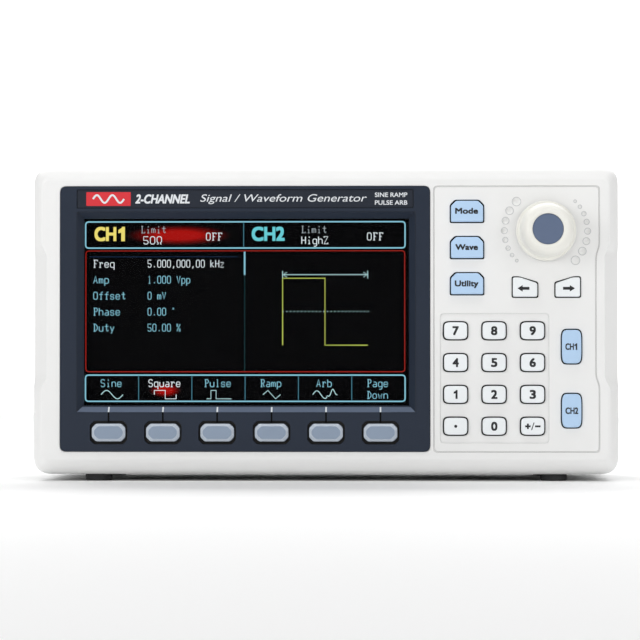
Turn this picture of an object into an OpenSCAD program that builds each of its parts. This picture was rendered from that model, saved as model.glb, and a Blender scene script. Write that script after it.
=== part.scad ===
// Compact two-channel function generator: white front bezel with a dark screen surround,
// 25 keys and a rotary knob, a vented rear housing with its connectors, and what is inside.
// +X is to the right seen from the front, +Y is to the back, +Z is up.
// The origin is on the table, under the centre of the whole object.

/* [Front bezel] */
// Width of the front bezel
bezel_w = 174; // [170:1:180]
// Height of the front bezel
bezel_h = 91.5; // [90:0.5:96]
// Depth of the front bezel
bezel_depth = 16; // [15:0.5:20]
// Width of the sloping flank at the left and right of the face
flank_side = 3.4; // [2.5:0.1:4]
// Width of the sloping flank above and below the face
flank_top = 4.6; // [3.5:0.1:5]
// Depth of the flank
flank_depth = 6; // [5:0.5:7]
// Thickness of the face
face_wall = 2.2; // [1.8:0.1:2.4]

/* [Rear housing] */
// Depth of the whole body behind the face
body_depth = 72; // [70:1:90]
// Step from the bezel in to the rear housing
housing_step = 0.75; // [0.4:0.05:1]
// Wall thickness of the rear housing
wall = 2.2; // [1.8:0.1:2.6]
// Height of the rubber feet under the bezel
foot_h = 2; // [1.5:0.1:4]
// Depth of the recess that the rear connectors sit in
bay_depth = 3; // [2:0.5:3.5]

/* [Display] */
// Width of the visible area of the 4.3 inch panel
screen_w = 95.04; // [90:0.01:96]
// Height of the visible area
screen_h = 53.86; // [50:0.01:55]
// Width of the dark surround
surround_w = 109.5; // [108:0.5:110]
// Height of the dark surround
surround_h = 78.5; // [77:0.5:79]

/* [Keys and knob] */
// How far a key travels
key_travel = 0.8; // [0.4:0.1:0.8]
// How far the top of a key stands out of the face
key_proud = 1.1; // [0.9:0.1:2]
// Gap round a key in the face
key_gap = 0.35; // [0.25:0.05:0.4]
// Diameter of the knob's skirt
knob_d = 17.7; // [15:0.1:18.5]
// How far the knob stands out of the face
knob_h = 13; // [12:0.5:14]
// Travel of the knob when it is pushed
knob_travel = 0.5; // [0.3:0.1:0.5]

/* [Rear] */
// How far the coaxial jacks stand out behind the body
jack_proud = 9; // [8:0.5:12]
// Angle between the two positions of the power rocker
rocker_swing = 18; // [12:1:20]
// Length of a tilt leg from its pivot
leg_length = 16.5; // [12:0.5:16.5]

/* [Hidden] */

eps = 0.01;
slice = 0.02;
bore_fn = 48;

// The object's frame: the whole depth is centred on the origin.
whole_depth = knob_h + body_depth + jack_proud;
face_y = knob_h - whole_depth / 2;
centre_z = foot_h + bezel_h / 2;
housing_hx = bezel_w / 2 - housing_step;
housing_hz = bezel_h / 2 - housing_step;
housing_bottom = centre_z - housing_hz;
bezel_r = 5.5;
face_r = 2.5;

// Where things are on the face, measured from its centre.
surround = [-78.5, -38.9];
screen = [-23.4, 2.4];
window_margin = [0.7, 0.8];
bevel = 1.95;
strip = [-73.6, 33.1, 99.8, 5.6];
menu_at = [for (i = [0:2]) [42, 32.1 - 10.7 * i]];
arrow_at = [[59.1, 9.7], [71.7, 9.7]];
channel_at = [[72.8, -7.9], [72.8, -26.8]];
number_at = [for (r = [0:3]) for (c = [0:2]) [38.6 + 11.35 * c, -3.2 - 9.4 * r]];
soft_at = [for (i = [0:5]) [-64.1 + 16.1 * i, -33.3]];
knob_at = [65.3, 26.3];
keypad_area = [34, -36.4, 32.2, 38.4];
panel_left = 32.4;
panel_right = 80.8;
panel_top = 39.3;
panel_bottom = -38.8;
waist_top = 21.7;
waist_bottom = -19.4;
waist_in = 1;
waist_slope = 2.6;

// Half sizes of the keys.
menu_half = [4.75, 3.1];
arrow_half = [3.6, 2.85];
channel_half = [2.85, 4.95];
number_half = [3.4, 2.5];
soft_half = [4.95, 2.6];
soft_well_half = [5.55, 3.45];
flange = 0.7;

// Depths behind the face, all negative.
surround_proud = 0.3;
window_lip = -2.6;
window_t = 1.2;
lcd_front = -4.1;
lcd_t = 1.5;
lcd_frame_back = -7.3;
lcd_frame_size = [105.5, 67.2];
lcd_frame_at = [-76.2, -28.6];
board_front = -9;
board_t = 1.6;
flange_front = -2.4;
flange_back = -3.4;
switch_body = 3.5;
switch_tip = board_front + 4.3;
board_half = [77.2, 38.5];
corner_post = [78.5, 37.5];
post_r = 4.2;
corner_block = [75.5, 34.5];
board_screw_at = [[31.8, 33], [31.8, -36], [-72.6, -35.8], [72.8, 36.2], [72.8, -36.4]];

// The main board lies flat in the rear housing.
main_z = 12;
main_t = 1.6;
main_top = main_z + main_t;
main_half_x = 74;
main_depths = [19, 66];
main_post_at = [for (x = [-69.5, 69.5]) for (d = [23, 61]) [x, d]];

// Connectors: places along X, and heights above the table.
jack_x = [-56, -34, -12];
usb_x = 9;
dc_x = 27;
rocker_x = 50;
jack_z = main_top + 7.9;
usb_z = main_top + 5.6;
bay = [-68, 64, jack_z - 11.8, jack_z + 11.8];
panel_depth = body_depth - bay_depth;
rocker_pivot = panel_depth - 2.6;

// Tilt legs.
leg_x = 48;
leg_w = 30;
leg_t = 4;
leg_pivot_depth = 23;
leg_pivot_z = housing_bottom + 2.4;
tub_depths = [19.5, 40.5];
tub_h = 4.9;
tub_wall = 1.7;

// The flank of the bezel from its foot to the face, as shares of its width and depth.
flank_curve = [[0, 1], [0.06, 0.78], [0.16, 0.58], [0.32, 0.39], [0.55, 0.2], [0.8, 0.06], [1, 0]];

// Walls, grooves and joins of the two shells.
bezel_wall = 2.4;
front_cavity = [80.5, 41.8];
block_depths = [8, 14.2];
groove_w = 0.4;
groove_depth = 0.3;
grip_deep = 8;
grip_t = 2.5;
tongue_front = 14.4;
rim_depth = 20;
rim_cavity = [82.8, 41.5];
post_front = 14.3;
head_depth = 5;
screw_hole_r = 1.7;
screw_head_hole_r = 3.1;

// Recesses of the display surround, and the panel behind it.
bevel_floor = -1.8;
well_floor = -1.2;
strip_floor = -0.25;
tick_w = 0.44;
lcd_half = [49.3, 29.3];
window_half = [screen_w / 2 + window_margin[0], screen_h / 2 + window_margin[1]];
lens_half = [screen_w / 2 + 3.1, screen_h / 2 + 2.7];
boss_r = 2.2;
boss_pilot_r = 1.15;

// Knob, its encoder and the dots around it.
encoder_front = -2.6;
bushing_top = 0.2;
shaft_r = 3;
shaft_back = -6.5;
shaft_fit = 0.03;
shaft_flat = 1.5;
shaft_top = 10.5;
plunger_t = 1;
plunger_back = shaft_back - 0.05 - plunger_t;
knob_base = 0.8;
cap_r = 4.5;
dot_count = 8;
dot_ring = 12.3;

// Key tops.
key_round = 0.5;
soft_round = 0.7;
soft_proud = 1;

box_faces = [[0, 1, 2, 3], [7, 6, 5, 4], [0, 4, 5, 1], [1, 5, 6, 2], [2, 6, 7, 3], [3, 7, 4, 0]];

function unit(v) = v / norm(v);
function corner(a, p, b, r, n) = [
    for (i = [0:n])
        let (t = i / n, s = p + r * unit(a - p), e = p + r * unit(b - p))
        (1 - t) * (1 - t) * s + 2 * t * (1 - t) * p + t * t * e
];
function rounded(points, r, n = 5) = [
    for (i = [0:len(points) - 1])
        each corner(points[(i + len(points) - 1) % len(points)], points[i],
            points[(i + 1) % len(points)], r, n)
];
function box_points(x, y, w, h) = [[x, y], [x + w, y], [x + w, y + h], [x, y + h]];
function barrel(half, power = 5, n = 48) = [
    for (i = [0:n - 1])
        let (c = cos(360 * i / n), s = sin(360 * i / n))
        [half[0] * sign(c) * pow(abs(c), 2 / power), half[1] * sign(s) * pow(abs(s), 2 / power)]
];
function menu_points(g) =
    let (a = menu_half[0] + g, b = menu_half[1] + g, c = 1.5)
    rounded([[-a, -b], [a, -b], [a, b - c], [a - c, b], [c - a, b], [-a, b - c]], 0.5, 3);
function arrow_points(g) =
    let (a = arrow_half[0] + g, b = arrow_half[1] + g)
    rounded([[-a, -b], [a, -b], [a, b - 1.7], [2.2 - a, b], [-a, b]], 0.6, 3);
function soft_points(half) =
    let (a = half[0], b = half[1], c = 1.25)
    rounded([[c - a, -b], [a - c, -b], [a, c - b], [a, b - c], [a - c, b], [c - a, b],
        [-a, b - c], [-a, c - b]], 0.5, 3);
function panel_points(g) = rounded([
    [panel_left - g, panel_bottom - g], [panel_right + g, panel_bottom - g],
    [panel_right + g, waist_bottom], [panel_right - waist_in + g, waist_bottom + waist_slope],
    [panel_right - waist_in + g, waist_top - waist_slope], [panel_right + g, waist_top],
    [panel_right + g, panel_top + g], [panel_left - g, panel_top + g]], 1.2, 4);
function dot_angle(i) = i == 0 ? 0 : dot_angle(i - 1) + 16.8 - 0.97 * i;
function dot_r(i) = 1.1 - 0.105 * i;

// Draws in the plane of the face: X to the right, Y up, and Z out towards the user.
module on_face() {
    translate([0, face_y, centre_z]) rotate([90, 0, 0]) children();
}
// A block between two depths behind the face, in the object's frame.
module deep_box(x, d0, d1, z0, z1, w) {
    translate([x - w / 2, face_y + d0, z0]) cube([w, d1 - d0, z1 - z0]);
}
// A cylinder along Y between two depths behind the face.
module deep_rod(x, z, d0, d1, r) {
    translate([x, face_y + d0, z]) rotate([-90, 0, 0]) cylinder(h = d1 - d0, r = r, $fn = bore_fn);
}
module plate(points, w0, w1) {
    translate([0, 0, w0]) linear_extrude(w1 - w0) polygon(points);
}
module plate_at(at, points, w0, w1) {
    translate([at[0], at[1], 0]) plate(points, w0, w1);
}
module round_slab(hx, hz, r, w) {
    plate(rounded(box_points(-hx, -hz, 2 * hx, 2 * hz), r, 8), w - slice / 2, w + slice / 2);
}
module frustum(low, high, w0, w1) {
    polyhedron(
        points = [for (p = low) [p[0], p[1], w0], for (p = high) [p[0], p[1], w1]],
        faces = box_faces);
}

// ---------------------------------------------------------------- front bezel
module bezel_outside() {
    hull() {
        round_slab(bezel_w / 2, bezel_h / 2, bezel_r, slice / 2 - bezel_depth);
        for (s = flank_curve)
            round_slab(bezel_w / 2 - flank_side * s[0], bezel_h / 2 - flank_top * s[0],
                bezel_r + (face_r - bezel_r) * s[0], -flank_depth * s[1] - slice / 2);
    }
}
// The finger grip: a flat cut across the flank on the right, with sloping ends.
module grip_cut() {
    x0 = bezel_w / 2 - flank_side - waist_in;
    run = bezel_w / 2 - x0;
    past = 1;
    fall = grip_deep / run;
    push = grip_t * unit([grip_deep, run]);
    spread = grip_t * waist_slope;
    low = waist_bottom + waist_slope;
    high = waist_top - waist_slope;
    near = [x0 - past, fall * past];
    far = [x0 + run + past, -grip_deep - fall * past];
    polyhedron(
        points = [
            [near[0], low, near[1]], [far[0], low, far[1]],
            [far[0], high, far[1]], [near[0], high, near[1]],
            [near[0] + push[0], low - spread, near[1] + push[1]],
            [far[0] + push[0], low - spread, far[1] + push[1]],
            [far[0] + push[0], high + spread, far[1] + push[1]],
            [near[0] + push[0], high + spread, near[1] + push[1]]],
        faces = box_faces);
}
module cavity(half, r, w0, w1) {
    plate(rounded(box_points(-half[0], -half[1], 2 * half[0], 2 * half[1]), r), w0, w1);
}
// Blocks in the rear corners that the long screws bite into.
module corner_blocks() {
    reach = [bezel_w / 2 - bezel_wall + eps, bezel_h / 2 - bezel_wall + eps] - corner_block;
    for (sx = [-1, 1]) for (sz = [-1, 1])
        scale([sx, sz, 1])
            translate([corner_block[0], corner_block[1], -block_depths[1]])
                cube([reach[0], reach[1], block_depths[1] - block_depths[0]]);
}
module screw_boss(at, w1) {
    translate([at[0], at[1], board_front]) cylinder(h = w1 - board_front, r = boss_r, $fn = bore_fn);
}
module boss_pilot(at) {
    translate([at[0], at[1], board_front - 1]) cylinder(h = 5, r = boss_pilot_r, $fn = bore_fn);
}
module volume_dots() {
    for (i = [0:dot_count - 1]) for (turn = [135, -45])
        let (a = turn + dot_angle(i))
        translate([knob_at[0] + dot_ring * cos(a), knob_at[1] + dot_ring * sin(a), 1.5 * dot_r(i)])
            sphere(r = 1.9 * dot_r(i), $fn = bore_fn);
}
module front_bezel() color("whitesmoke") on_face() difference() {
    union() {
        difference() {
            bezel_outside();
            cavity(front_cavity, 2, -block_depths[0] - eps, -face_wall);
            cavity([bezel_w / 2 - bezel_wall, bezel_h / 2 - bezel_wall], 3.5,
                -bezel_depth - 1, -block_depths[0]);
        }
        corner_blocks();
        for (p = board_screw_at) if (p[0] > 60) screw_boss(p, eps - face_wall);
    }
    plate(rounded(box_points(surround[0] - 0.1, surround[1] - 0.1, surround_w + 0.2, surround_h + 0.2), 1.9),
        -face_wall - 1, 1);
    for (p = menu_at) plate_at(p, menu_points(key_gap), -face_wall - 1, 1);
    plate_at(arrow_at[0], arrow_points(key_gap), -face_wall - 1, 1);
    translate([arrow_at[1][0], arrow_at[1][1], 0]) mirror([1, 0, 0])
        plate(arrow_points(key_gap), -face_wall - 1, 1);
    for (p = channel_at) plate_at(p, barrel(channel_half + [key_gap, key_gap]), -face_wall - 1, 1);
    for (p = number_at) plate_at(p, barrel(number_half + [key_gap, key_gap]), -face_wall - 1, 1);
    translate([knob_at[0], knob_at[1], -face_wall - 1]) cylinder(h = face_wall + 2, r = 3.75, $fn = bore_fn);
    difference() {
        plate(panel_points(groove_w), -groove_depth, 1);
        plate(panel_points(0), -groove_depth - 1, 2);
    }
    plate(rounded(box_points(keypad_area[0], keypad_area[1], keypad_area[2], keypad_area[3]), 1.3),
        -groove_depth, 1);
    volume_dots();
    grip_cut();
    mirror([1, 0, 0]) grip_cut();
    for (sx = [-1, 1]) for (sz = [-1, 1])
        translate([sx * corner_post[0], sz * corner_post[1], -block_depths[1] - 1])
            cylinder(h = 6, r = 1.55, $fn = bore_fn);
    for (p = board_screw_at) if (p[0] > 60) boss_pilot(p);
}

// ---------------------------------------------------------------- display
function screen_box(half) = box_points(screen[0] - half[0], screen[1] - half[1], 2 * half[0], 2 * half[1]);

module window_cut() {
    frustum(screen_box(window_half), screen_box(window_half + [bevel, bevel]), bevel_floor, surround_proud);
    plate(screen_box(window_half + [bevel, bevel]), surround_proud - eps, 1);
    plate(screen_box(window_half), window_lip - 1, bevel_floor + eps);
    plate(screen_box(lens_half + [0.15, 0.15]), lcd_front - 1, window_lip);
}
module softkey_cuts() {
    for (p = soft_at) {
        plate_at(p, soft_points(soft_well_half), well_floor, 1);
        plate_at(p, soft_points(soft_half + [0.15, 0.15]), -face_wall - 1, 1);
        plate_at(p, soft_points(soft_half + [1.1, 1.1]), lcd_front - 1, -face_wall);
        tick_bottom = p[1] + soft_well_half[1] - 0.2;
        tick_top = screen[1] - window_half[1] - bevel + 0.3;
        plate_at([p[0], tick_bottom], box_points(-tick_w / 2, 0, tick_w, tick_top - tick_bottom),
            surround_proud - groove_depth, 1);
    }
}
module display_bezel() color([0.17, 0.2, 0.25]) on_face() difference() {
    union() {
        plate(rounded(box_points(surround[0], surround[1], surround_w, surround_h), 1.8),
            -face_wall - 0.1, surround_proud);
        plate(box_points(-80.2, -41.5, 114.3, 83), lcd_front + 0.1, -face_wall - 0.05);
        for (p = board_screw_at) if (p[0] < 60) screw_boss(p, lcd_front + 0.2);
    }
    window_cut();
    softkey_cuts();
    plate(rounded(box_points(strip[0], strip[1], strip[2], strip[3]), 0.5), strip_floor, 1);
    for (p = board_screw_at) if (p[0] < 60) boss_pilot(p);
}
module name_plate() color([0.2, 0.23, 0.28]) on_face()
    plate(rounded(box_points(strip[0] + 0.2, strip[1] + 0.2, strip[2] - 0.4, strip[3] - 0.4), 0.4),
        strip_floor, strip_floor + 0.3);
module display_window() color([0.8, 0.85, 0.9, 0.3]) on_face()
    plate(rounded(screen_box(lens_half), 1), window_lip - 0.05 - window_t, window_lip - 0.05);
module lcd_panel() color([0.02, 0.02, 0.03]) on_face()
    plate(screen_box(lcd_half), lcd_front - lcd_t, lcd_front);
module lcd_frame() color("silver") on_face() difference() {
    plate(rounded(box_points(lcd_frame_at[0], lcd_frame_at[1], lcd_frame_size[0], lcd_frame_size[1]), 0.8),
        lcd_frame_back, lcd_front);
    plate(screen_box(lcd_half + [0.1, 0.1]), lcd_front - lcd_t - 0.05, 1);
}

// ---------------------------------------------------------------- front board
module board_notch(sx, sz) {
    scale([sx, sz, 1]) translate([corner_block[0] - 0.5, corner_block[1] - 0.5, board_front - board_t - 1])
        cube([10, 10, board_t + 2]);
}
module front_board() color("seagreen") on_face() difference() {
    plate(box_points(-board_half[0], -board_half[1], 2 * board_half[0], 2 * board_half[1]),
        board_front - board_t, board_front);
    for (sx = [-1, 1]) for (sz = [-1, 1]) board_notch(sx, sz);
    for (p = board_screw_at) translate([p[0], p[1], board_front - board_t - 1])
        cylinder(h = board_t + 2, r = 1.3, $fn = bore_fn);
}
module tact_switch(at) {
    translate([at[0], at[1], board_front]) {
        translate([-3, -3, 0]) cube([6, 6, switch_body]);
        cylinder(h = switch_tip - board_front, r = 1.7, $fn = bore_fn);
    }
}
module tact_switches() color([0.12, 0.12, 0.13]) on_face()
    for (p = concat(menu_at, arrow_at, channel_at, number_at, soft_at)) tact_switch(p);
module encoder_body() color([0.35, 0.36, 0.38]) on_face()
    translate([knob_at[0], knob_at[1], 0]) difference() {
        union() {
            translate([-6, -6, board_front]) cube([12, 12, encoder_front - board_front]);
            translate([0, 0, encoder_front - eps])
                cylinder(h = bushing_top - encoder_front + eps, r = shaft_r + 0.5, $fn = bore_fn);
        }
        translate([0, 0, plunger_back - knob_travel - 0.3])
            cylinder(h = 12, r = shaft_r + shaft_fit, $fn = bore_fn);
    }
module board_screws() color("silver") {
    on_face() for (p = board_screw_at) translate([p[0], p[1], 0]) {
        translate([0, 0, board_front - board_t - 1.5]) cylinder(h = 1.5, r = 2.1, $fn = bore_fn);
        translate([0, 0, board_front - board_t - eps]) cylinder(h = board_t + 3, r = 1.1, $fn = bore_fn);
    }
    for (p = main_post_at) translate([p[0], face_y + p[1], 0]) {
        translate([0, 0, main_top]) cylinder(h = 1.6, r = 2.5, $fn = bore_fn);
        translate([0, 0, main_z - 4]) cylinder(h = main_t + 4 + eps, r = 1.3, $fn = bore_fn);
    }
}

// ---------------------------------------------------------------- knob and encoder
module shaft_section(r, flat) {
    intersection() {
        circle(r = r, $fn = bore_fn);
        translate([-r, -r]) square([2 * r, r + flat]);
    }
}
module encoder_shaft() color("gainsboro") on_face() translate([knob_at[0], knob_at[1], 0]) {
    round_top = knob_base - 0.3;
    translate([0, 0, shaft_back]) cylinder(h = round_top - shaft_back, r = shaft_r, $fn = bore_fn);
    translate([0, 0, round_top - eps])
        linear_extrude(shaft_top - round_top) shaft_section(shaft_r, shaft_flat);
}
module encoder_plunger() color("ivory") on_face()
    translate([knob_at[0], knob_at[1], plunger_back])
        cylinder(h = plunger_t, r = shaft_r - 0.2, $fn = bore_fn);
module knob() color([0.93, 0.93, 0.9]) on_face() translate([knob_at[0], knob_at[1], 0]) difference() {
    rotate_extrude($fn = 96) polygon(concat(
        [[0, knob_h - 1], [0, knob_base], [4.6, knob_base], [4.6, 9.5], [6.7, 9.5], [7.3, knob_base],
         [knob_d / 2 - 0.3, knob_base], [knob_d / 2, knob_base + 0.3], [knob_d / 2, knob_base + 1.1],
         [knob_d / 2 - 0.4, knob_base + 1.6], [knob_d / 2 - 0.8, 7]],
        [for (a = [0:10:90]) [5.3 + 2.5 * cos(a), 9.2 + (knob_h - 9.2) * sin(a)]],
        [[cap_r + 0.1, knob_h - 0.05], [cap_r + 0.05, knob_h - 1]]));
    translate([0, 0, -1]) linear_extrude(shaft_top + 1.1)
        shaft_section(shaft_r + shaft_fit, shaft_flat + shaft_fit);
}
module knob_cap() color([0.36, 0.42, 0.52]) on_face()
    translate([knob_at[0], knob_at[1], knob_h - 1]) cylinder(h = 0.8, r = cap_r, $fn = 96);

// ---------------------------------------------------------------- keys
module key_cap(at, body, top, foot, proud, flip = false) {
    on_face() translate([at[0], at[1], 0]) mirror([flip ? 1 : 0, 0, 0]) {
        hull() {
            plate(body, flange_front, proud - key_round);
            plate(top, proud - slice, proud);
        }
        plate(foot, flange_back, flange_front + eps);
        translate([0, 0, switch_tip + key_travel + 0.05])
            cylinder(h = flange_back - switch_tip - key_travel, r = 1.5, $fn = bore_fn);
    }
}
module menu_key(i) color([0.72, 0.83, 0.94])
    key_cap(menu_at[i], menu_points(0), menu_points(-key_round), menu_points(flange), key_proud);
module arrow_key(i) color([0.92, 0.94, 0.95])
    key_cap(arrow_at[i], arrow_points(0), arrow_points(-key_round), arrow_points(flange), key_proud, i == 1);
module channel_key(i) color([0.72, 0.83, 0.94])
    key_cap(channel_at[i], barrel(channel_half), barrel(channel_half - [key_round, key_round]),
        barrel(channel_half + [flange, flange]), key_proud);
module number_key(i) color([0.92, 0.94, 0.95])
    key_cap(number_at[i], barrel(number_half), barrel(number_half - [key_round, key_round]),
        barrel(number_half + [flange, flange]), key_proud);
module soft_key(i) color([0.6, 0.65, 0.72])
    key_cap(soft_at[i], soft_points(soft_half), soft_points(soft_half - [soft_round, soft_round]),
        soft_points(soft_half + [flange, flange]), soft_proud);

// ---------------------------------------------------------------- rear housing
module housing_outside() {
    hull() for (s = [[0, bezel_depth], [0, body_depth - 5], [0.9, body_depth - 2.2], [2, body_depth - 0.8],
            [3.4, body_depth]])
        round_slab(housing_hx - s[0], housing_hz - s[0], 5 - s[0] * 0.5,
            s[1] == bezel_depth ? -s[1] - slice / 2 : -s[1] + slice / 2);
}
module housing_shell() {
    tongue = [bezel_w / 2 - bezel_wall - 0.2, bezel_h / 2 - bezel_wall - 0.2];
    difference() {
        union() {
            housing_outside();
            cavity(tongue, 3.3, -bezel_depth - eps, -tongue_front);
        }
        cavity(rim_cavity, 2, -rim_depth, 1 - tongue_front);
        cavity([housing_hx - wall, housing_hz - wall], 3, wall - body_depth, -rim_depth + eps);
    }
}
module screw_posts() {
    for (sx = [-1, 1]) for (sz = [-1, 1]) scale([sx, sz, 1]) translate([corner_post[0], corner_post[1], 0]) {
        translate([0, 0, wall - body_depth - eps])
            cylinder(h = body_depth - wall - post_front, r = post_r, $fn = bore_fn);
        translate([0, -0.8, wall - body_depth - eps])
            cube([housing_hx - wall - corner_post[0] + eps, 1.6, body_depth - wall - rim_depth]);
        translate([-0.8, 0, wall - body_depth - eps])
            cube([1.6, housing_hz - wall - corner_post[1] + eps, body_depth - wall - rim_depth]);
    }
}
module leg_tub(x) {
    deep_box(x, tub_depths[0] - tub_wall, tub_depths[1] + tub_wall, housing_bottom + 0.5,
        housing_bottom + tub_h + tub_wall, leg_w + 0.4 + 2 * tub_wall);
}
module leg_recess(x) {
    deep_box(x, tub_depths[0], tub_depths[1], housing_bottom - 1, housing_bottom + tub_h, leg_w + 0.4);
    translate([x - leg_w / 2 - 1.4, face_y + leg_pivot_depth, leg_pivot_z]) rotate([0, 90, 0])
        cylinder(h = leg_w + 2.8, r = 1.55, $fn = bore_fn);
}
module connector_holes() {
    for (x = jack_x) deep_rod(x, jack_z, panel_depth - wall - 1, body_depth, 6.5);
    deep_box(usb_x, panel_depth - wall - 1, body_depth, usb_z - 5.7, usb_z + 5.7, 12.4);
    deep_box(dc_x, panel_depth - wall - 1, body_depth, usb_z - 5.7, usb_z + 5.7, 9.8);
    deep_box(rocker_x, panel_depth - wall - 1, body_depth, jack_z - 9.5, jack_z + 9.5, 13.2);
}
module vents() {
    top = centre_z + housing_hz;
    for (i = [-4:4]) {
        for (x = [-38, 38]) deep_box(x + i * 4.2, 30, 54, top - wall - 1, top + 1, 2);
        deep_box(i * 3.2, 30, 56, housing_bottom - 1, housing_bottom + wall + 1, 1.6);
        for (side = [-1, 1])
            deep_box(side * (housing_hx - wall / 2), 43 + i * 4.2, 45 + i * 4.2,
                centre_z - 12, centre_z + 24, wall + 2);
    }
    for (i = [0:5]) for (x = [-33, 33])
        deep_box(x, body_depth - wall - 1, body_depth + 1, centre_z + 4 + 5 * i, centre_z + 6 + 5 * i, 56);
}
module rear_housing() color([0.88, 0.88, 0.87]) difference() {
    union() {
        on_face() {
            housing_shell();
            screw_posts();
        }
        deep_box((bay[0] + bay[1]) / 2, panel_depth - wall, body_depth - wall + eps,
            bay[2] - 1.5, bay[3] + 1.5, bay[1] - bay[0] + 4);
        for (x = [-leg_x, leg_x]) leg_tub(x);
        for (p = main_post_at) translate([p[0], face_y + p[1], housing_bottom + 1])
            cylinder(h = main_z - housing_bottom - 1, r = 3, $fn = bore_fn);
    }
    on_face() {
        plate(rounded(box_points(bay[0], bay[2] - centre_z, bay[1] - bay[0], bay[3] - bay[2]), 1.5),
            -body_depth - 1, -panel_depth);
        for (sx = [-1, 1]) for (sz = [-1, 1])
            translate([sx * corner_post[0], sz * corner_post[1], -body_depth - 1]) {
                cylinder(h = body_depth, r = screw_hole_r, $fn = bore_fn);
                cylinder(h = 1 + head_depth, r = screw_head_hole_r, $fn = bore_fn);
            }
    }
    connector_holes();
    vents();
    for (x = [-leg_x, leg_x]) leg_recess(x);
    for (p = main_post_at) translate([p[0], face_y + p[1], main_z - 5])
        cylinder(h = 6, r = 1.35, $fn = bore_fn);
}
module rubber_feet() color([0.15, 0.15, 0.16]) for (x = [-68, 68]) {
    translate([x, face_y + 11, 0]) cylinder(h = foot_h, r = 4, $fn = bore_fn);
    translate([x, face_y + 60, 0]) cylinder(h = housing_bottom, r = 4, $fn = bore_fn);
}
module housing_screws() color("silver") on_face()
    for (sx = [-1, 1]) for (sz = [-1, 1]) translate([sx * corner_post[0], sz * corner_post[1], 0]) {
        difference() {
            translate([0, 0, head_depth - body_depth - 2.4]) cylinder(h = 2.4, r = 2.8, $fn = bore_fn);
            for (a = [0, 90]) rotate(a) translate([-1.7, -0.35, head_depth - body_depth - 3])
                cube([3.4, 0.7, 1.8]);
        }
        translate([0, 0, head_depth - body_depth - eps])
            cylinder(h = body_depth - head_depth - 9.5, r = 1.5, $fn = bore_fn);
    }

// ---------------------------------------------------------------- main board
module main_board() color("seagreen") difference() {
    deep_box(0, main_depths[0], main_depths[1], main_z, main_top, 2 * main_half_x);
    deep_box(rocker_x, panel_depth - 14, panel_depth, main_z - 1, main_top + 1, 15);
    for (p = main_post_at) translate([p[0], face_y + p[1], main_z - 1])
        cylinder(h = 4, r = 1.5, $fn = bore_fn);
}
module shield_can(x, w) {
    difference() {
        deep_box(x, 24, 49, main_top, main_top + 6, w);
        deep_box(x, 24.5, 48.5, main_top - 1, main_top + 5.5, w - 1);
        for (i = [-2:2]) for (d = [30, 36.5, 43]) translate([x + i * w / 6, face_y + d, main_top + 5])
            cylinder(h = 2, r = 0.8, $fn = 24);
    }
}
module rf_shields() color("lightgray") {
    shield_can(-45, 36);
    shield_can(-8, 22);
}
module chips() color([0.1, 0.1, 0.11]) {
    deep_box(22, 33.5, 50.5, main_top, main_top + 1.6, 17);
    deep_box(44, 34, 46, main_top, main_top + 1.4, 12);
    deep_box(40, 23, 29, main_top, main_top + 1.2, 8);
    deep_box(36.5, 53, 58, main_top, main_top + 2.4, 6);
    on_face() plate(box_points(-40, -10, 14, 14), board_front - board_t - 1.4, board_front - board_t);
}
module capacitors() color([0.2, 0.22, 0.28])
    for (p = [[62, 46], [62, 55.5], [-68, 34], [-68, 44], [8.2, 45]])
        translate([p[0], face_y + p[1], main_top]) {
            cylinder(h = 10, r = 3.5, $fn = bore_fn);
            translate([-3.8, -3.8, 0]) cube([7.6, 7.6, 1]);
        }
module buzzer() color([0.08, 0.08, 0.08]) translate([62, face_y + 33, main_top]) difference() {
    cylinder(h = 7, r = 6, $fn = bore_fn);
    translate([0, 0, 5]) cylinder(h = 3, r = 1.2, $fn = bore_fn);
}
module ribbon_cable() color([0.6, 0.62, 0.65]) {
    start = board_t - board_front + 6;
    bend = 8;
    plug_z = main_top + 6;
    deep_box(20, board_t - board_front, start, plug_z + bend - 2.5, plug_z + bend + 2.5, 22);
    deep_box(20, start + bend - 2.5, start + bend + 2.5, main_top, plug_z, 22);
    translate([11, face_y + start - eps, plug_z - eps]) rotate([90, 0, 90]) linear_extrude(18) polygon(concat(
        [for (a = [0:9:90]) (bend + 0.45) * [cos(a), sin(a)]],
        [for (a = [90:-9:0]) (bend - 0.45) * [cos(a), sin(a)]]));
}

// ---------------------------------------------------------------- rear connectors
module bnc_jack(x) color("lightgray") difference() {
    union() {
        deep_box(x, panel_depth - 17, panel_depth - wall - 0.1, main_top, jack_z + 7.9, 14.6);
        deep_rod(x, jack_z, panel_depth - wall - 1, panel_depth + 2.6, 6.3);
        deep_rod(x, jack_z, panel_depth + 2, body_depth + jack_proud, 4.8);
        translate([x - 5.55, face_y + body_depth + jack_proud - 4.2, jack_z]) rotate([0, 90, 0])
            cylinder(h = 11.1, r = 0.95, $fn = 24);
    }
    deep_rod(x, jack_z, panel_depth + 3.5, body_depth + jack_proud + 1, 4.05);
}
module bnc_nuts() color("silver") for (x = jack_x) difference() {
    translate([x, face_y + panel_depth, jack_z]) rotate([-90, 0, 0]) cylinder(h = 2, r = 8.2, $fn = 6);
    deep_rod(x, jack_z, panel_depth - 1, panel_depth + 3, 6.35);
}
module connector_insulators() color("ivory") {
    for (x = jack_x) difference() {
        deep_rod(x, jack_z, panel_depth + 3.5, body_depth + jack_proud - 1.4, 2.5);
        deep_rod(x, jack_z, panel_depth + 4, body_depth + jack_proud, 0.95);
    }
    deep_box(usb_x, panel_depth - 12, panel_depth - 1, usb_z - 1.6, usb_z + 1.6, 5.6);
}
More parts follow.
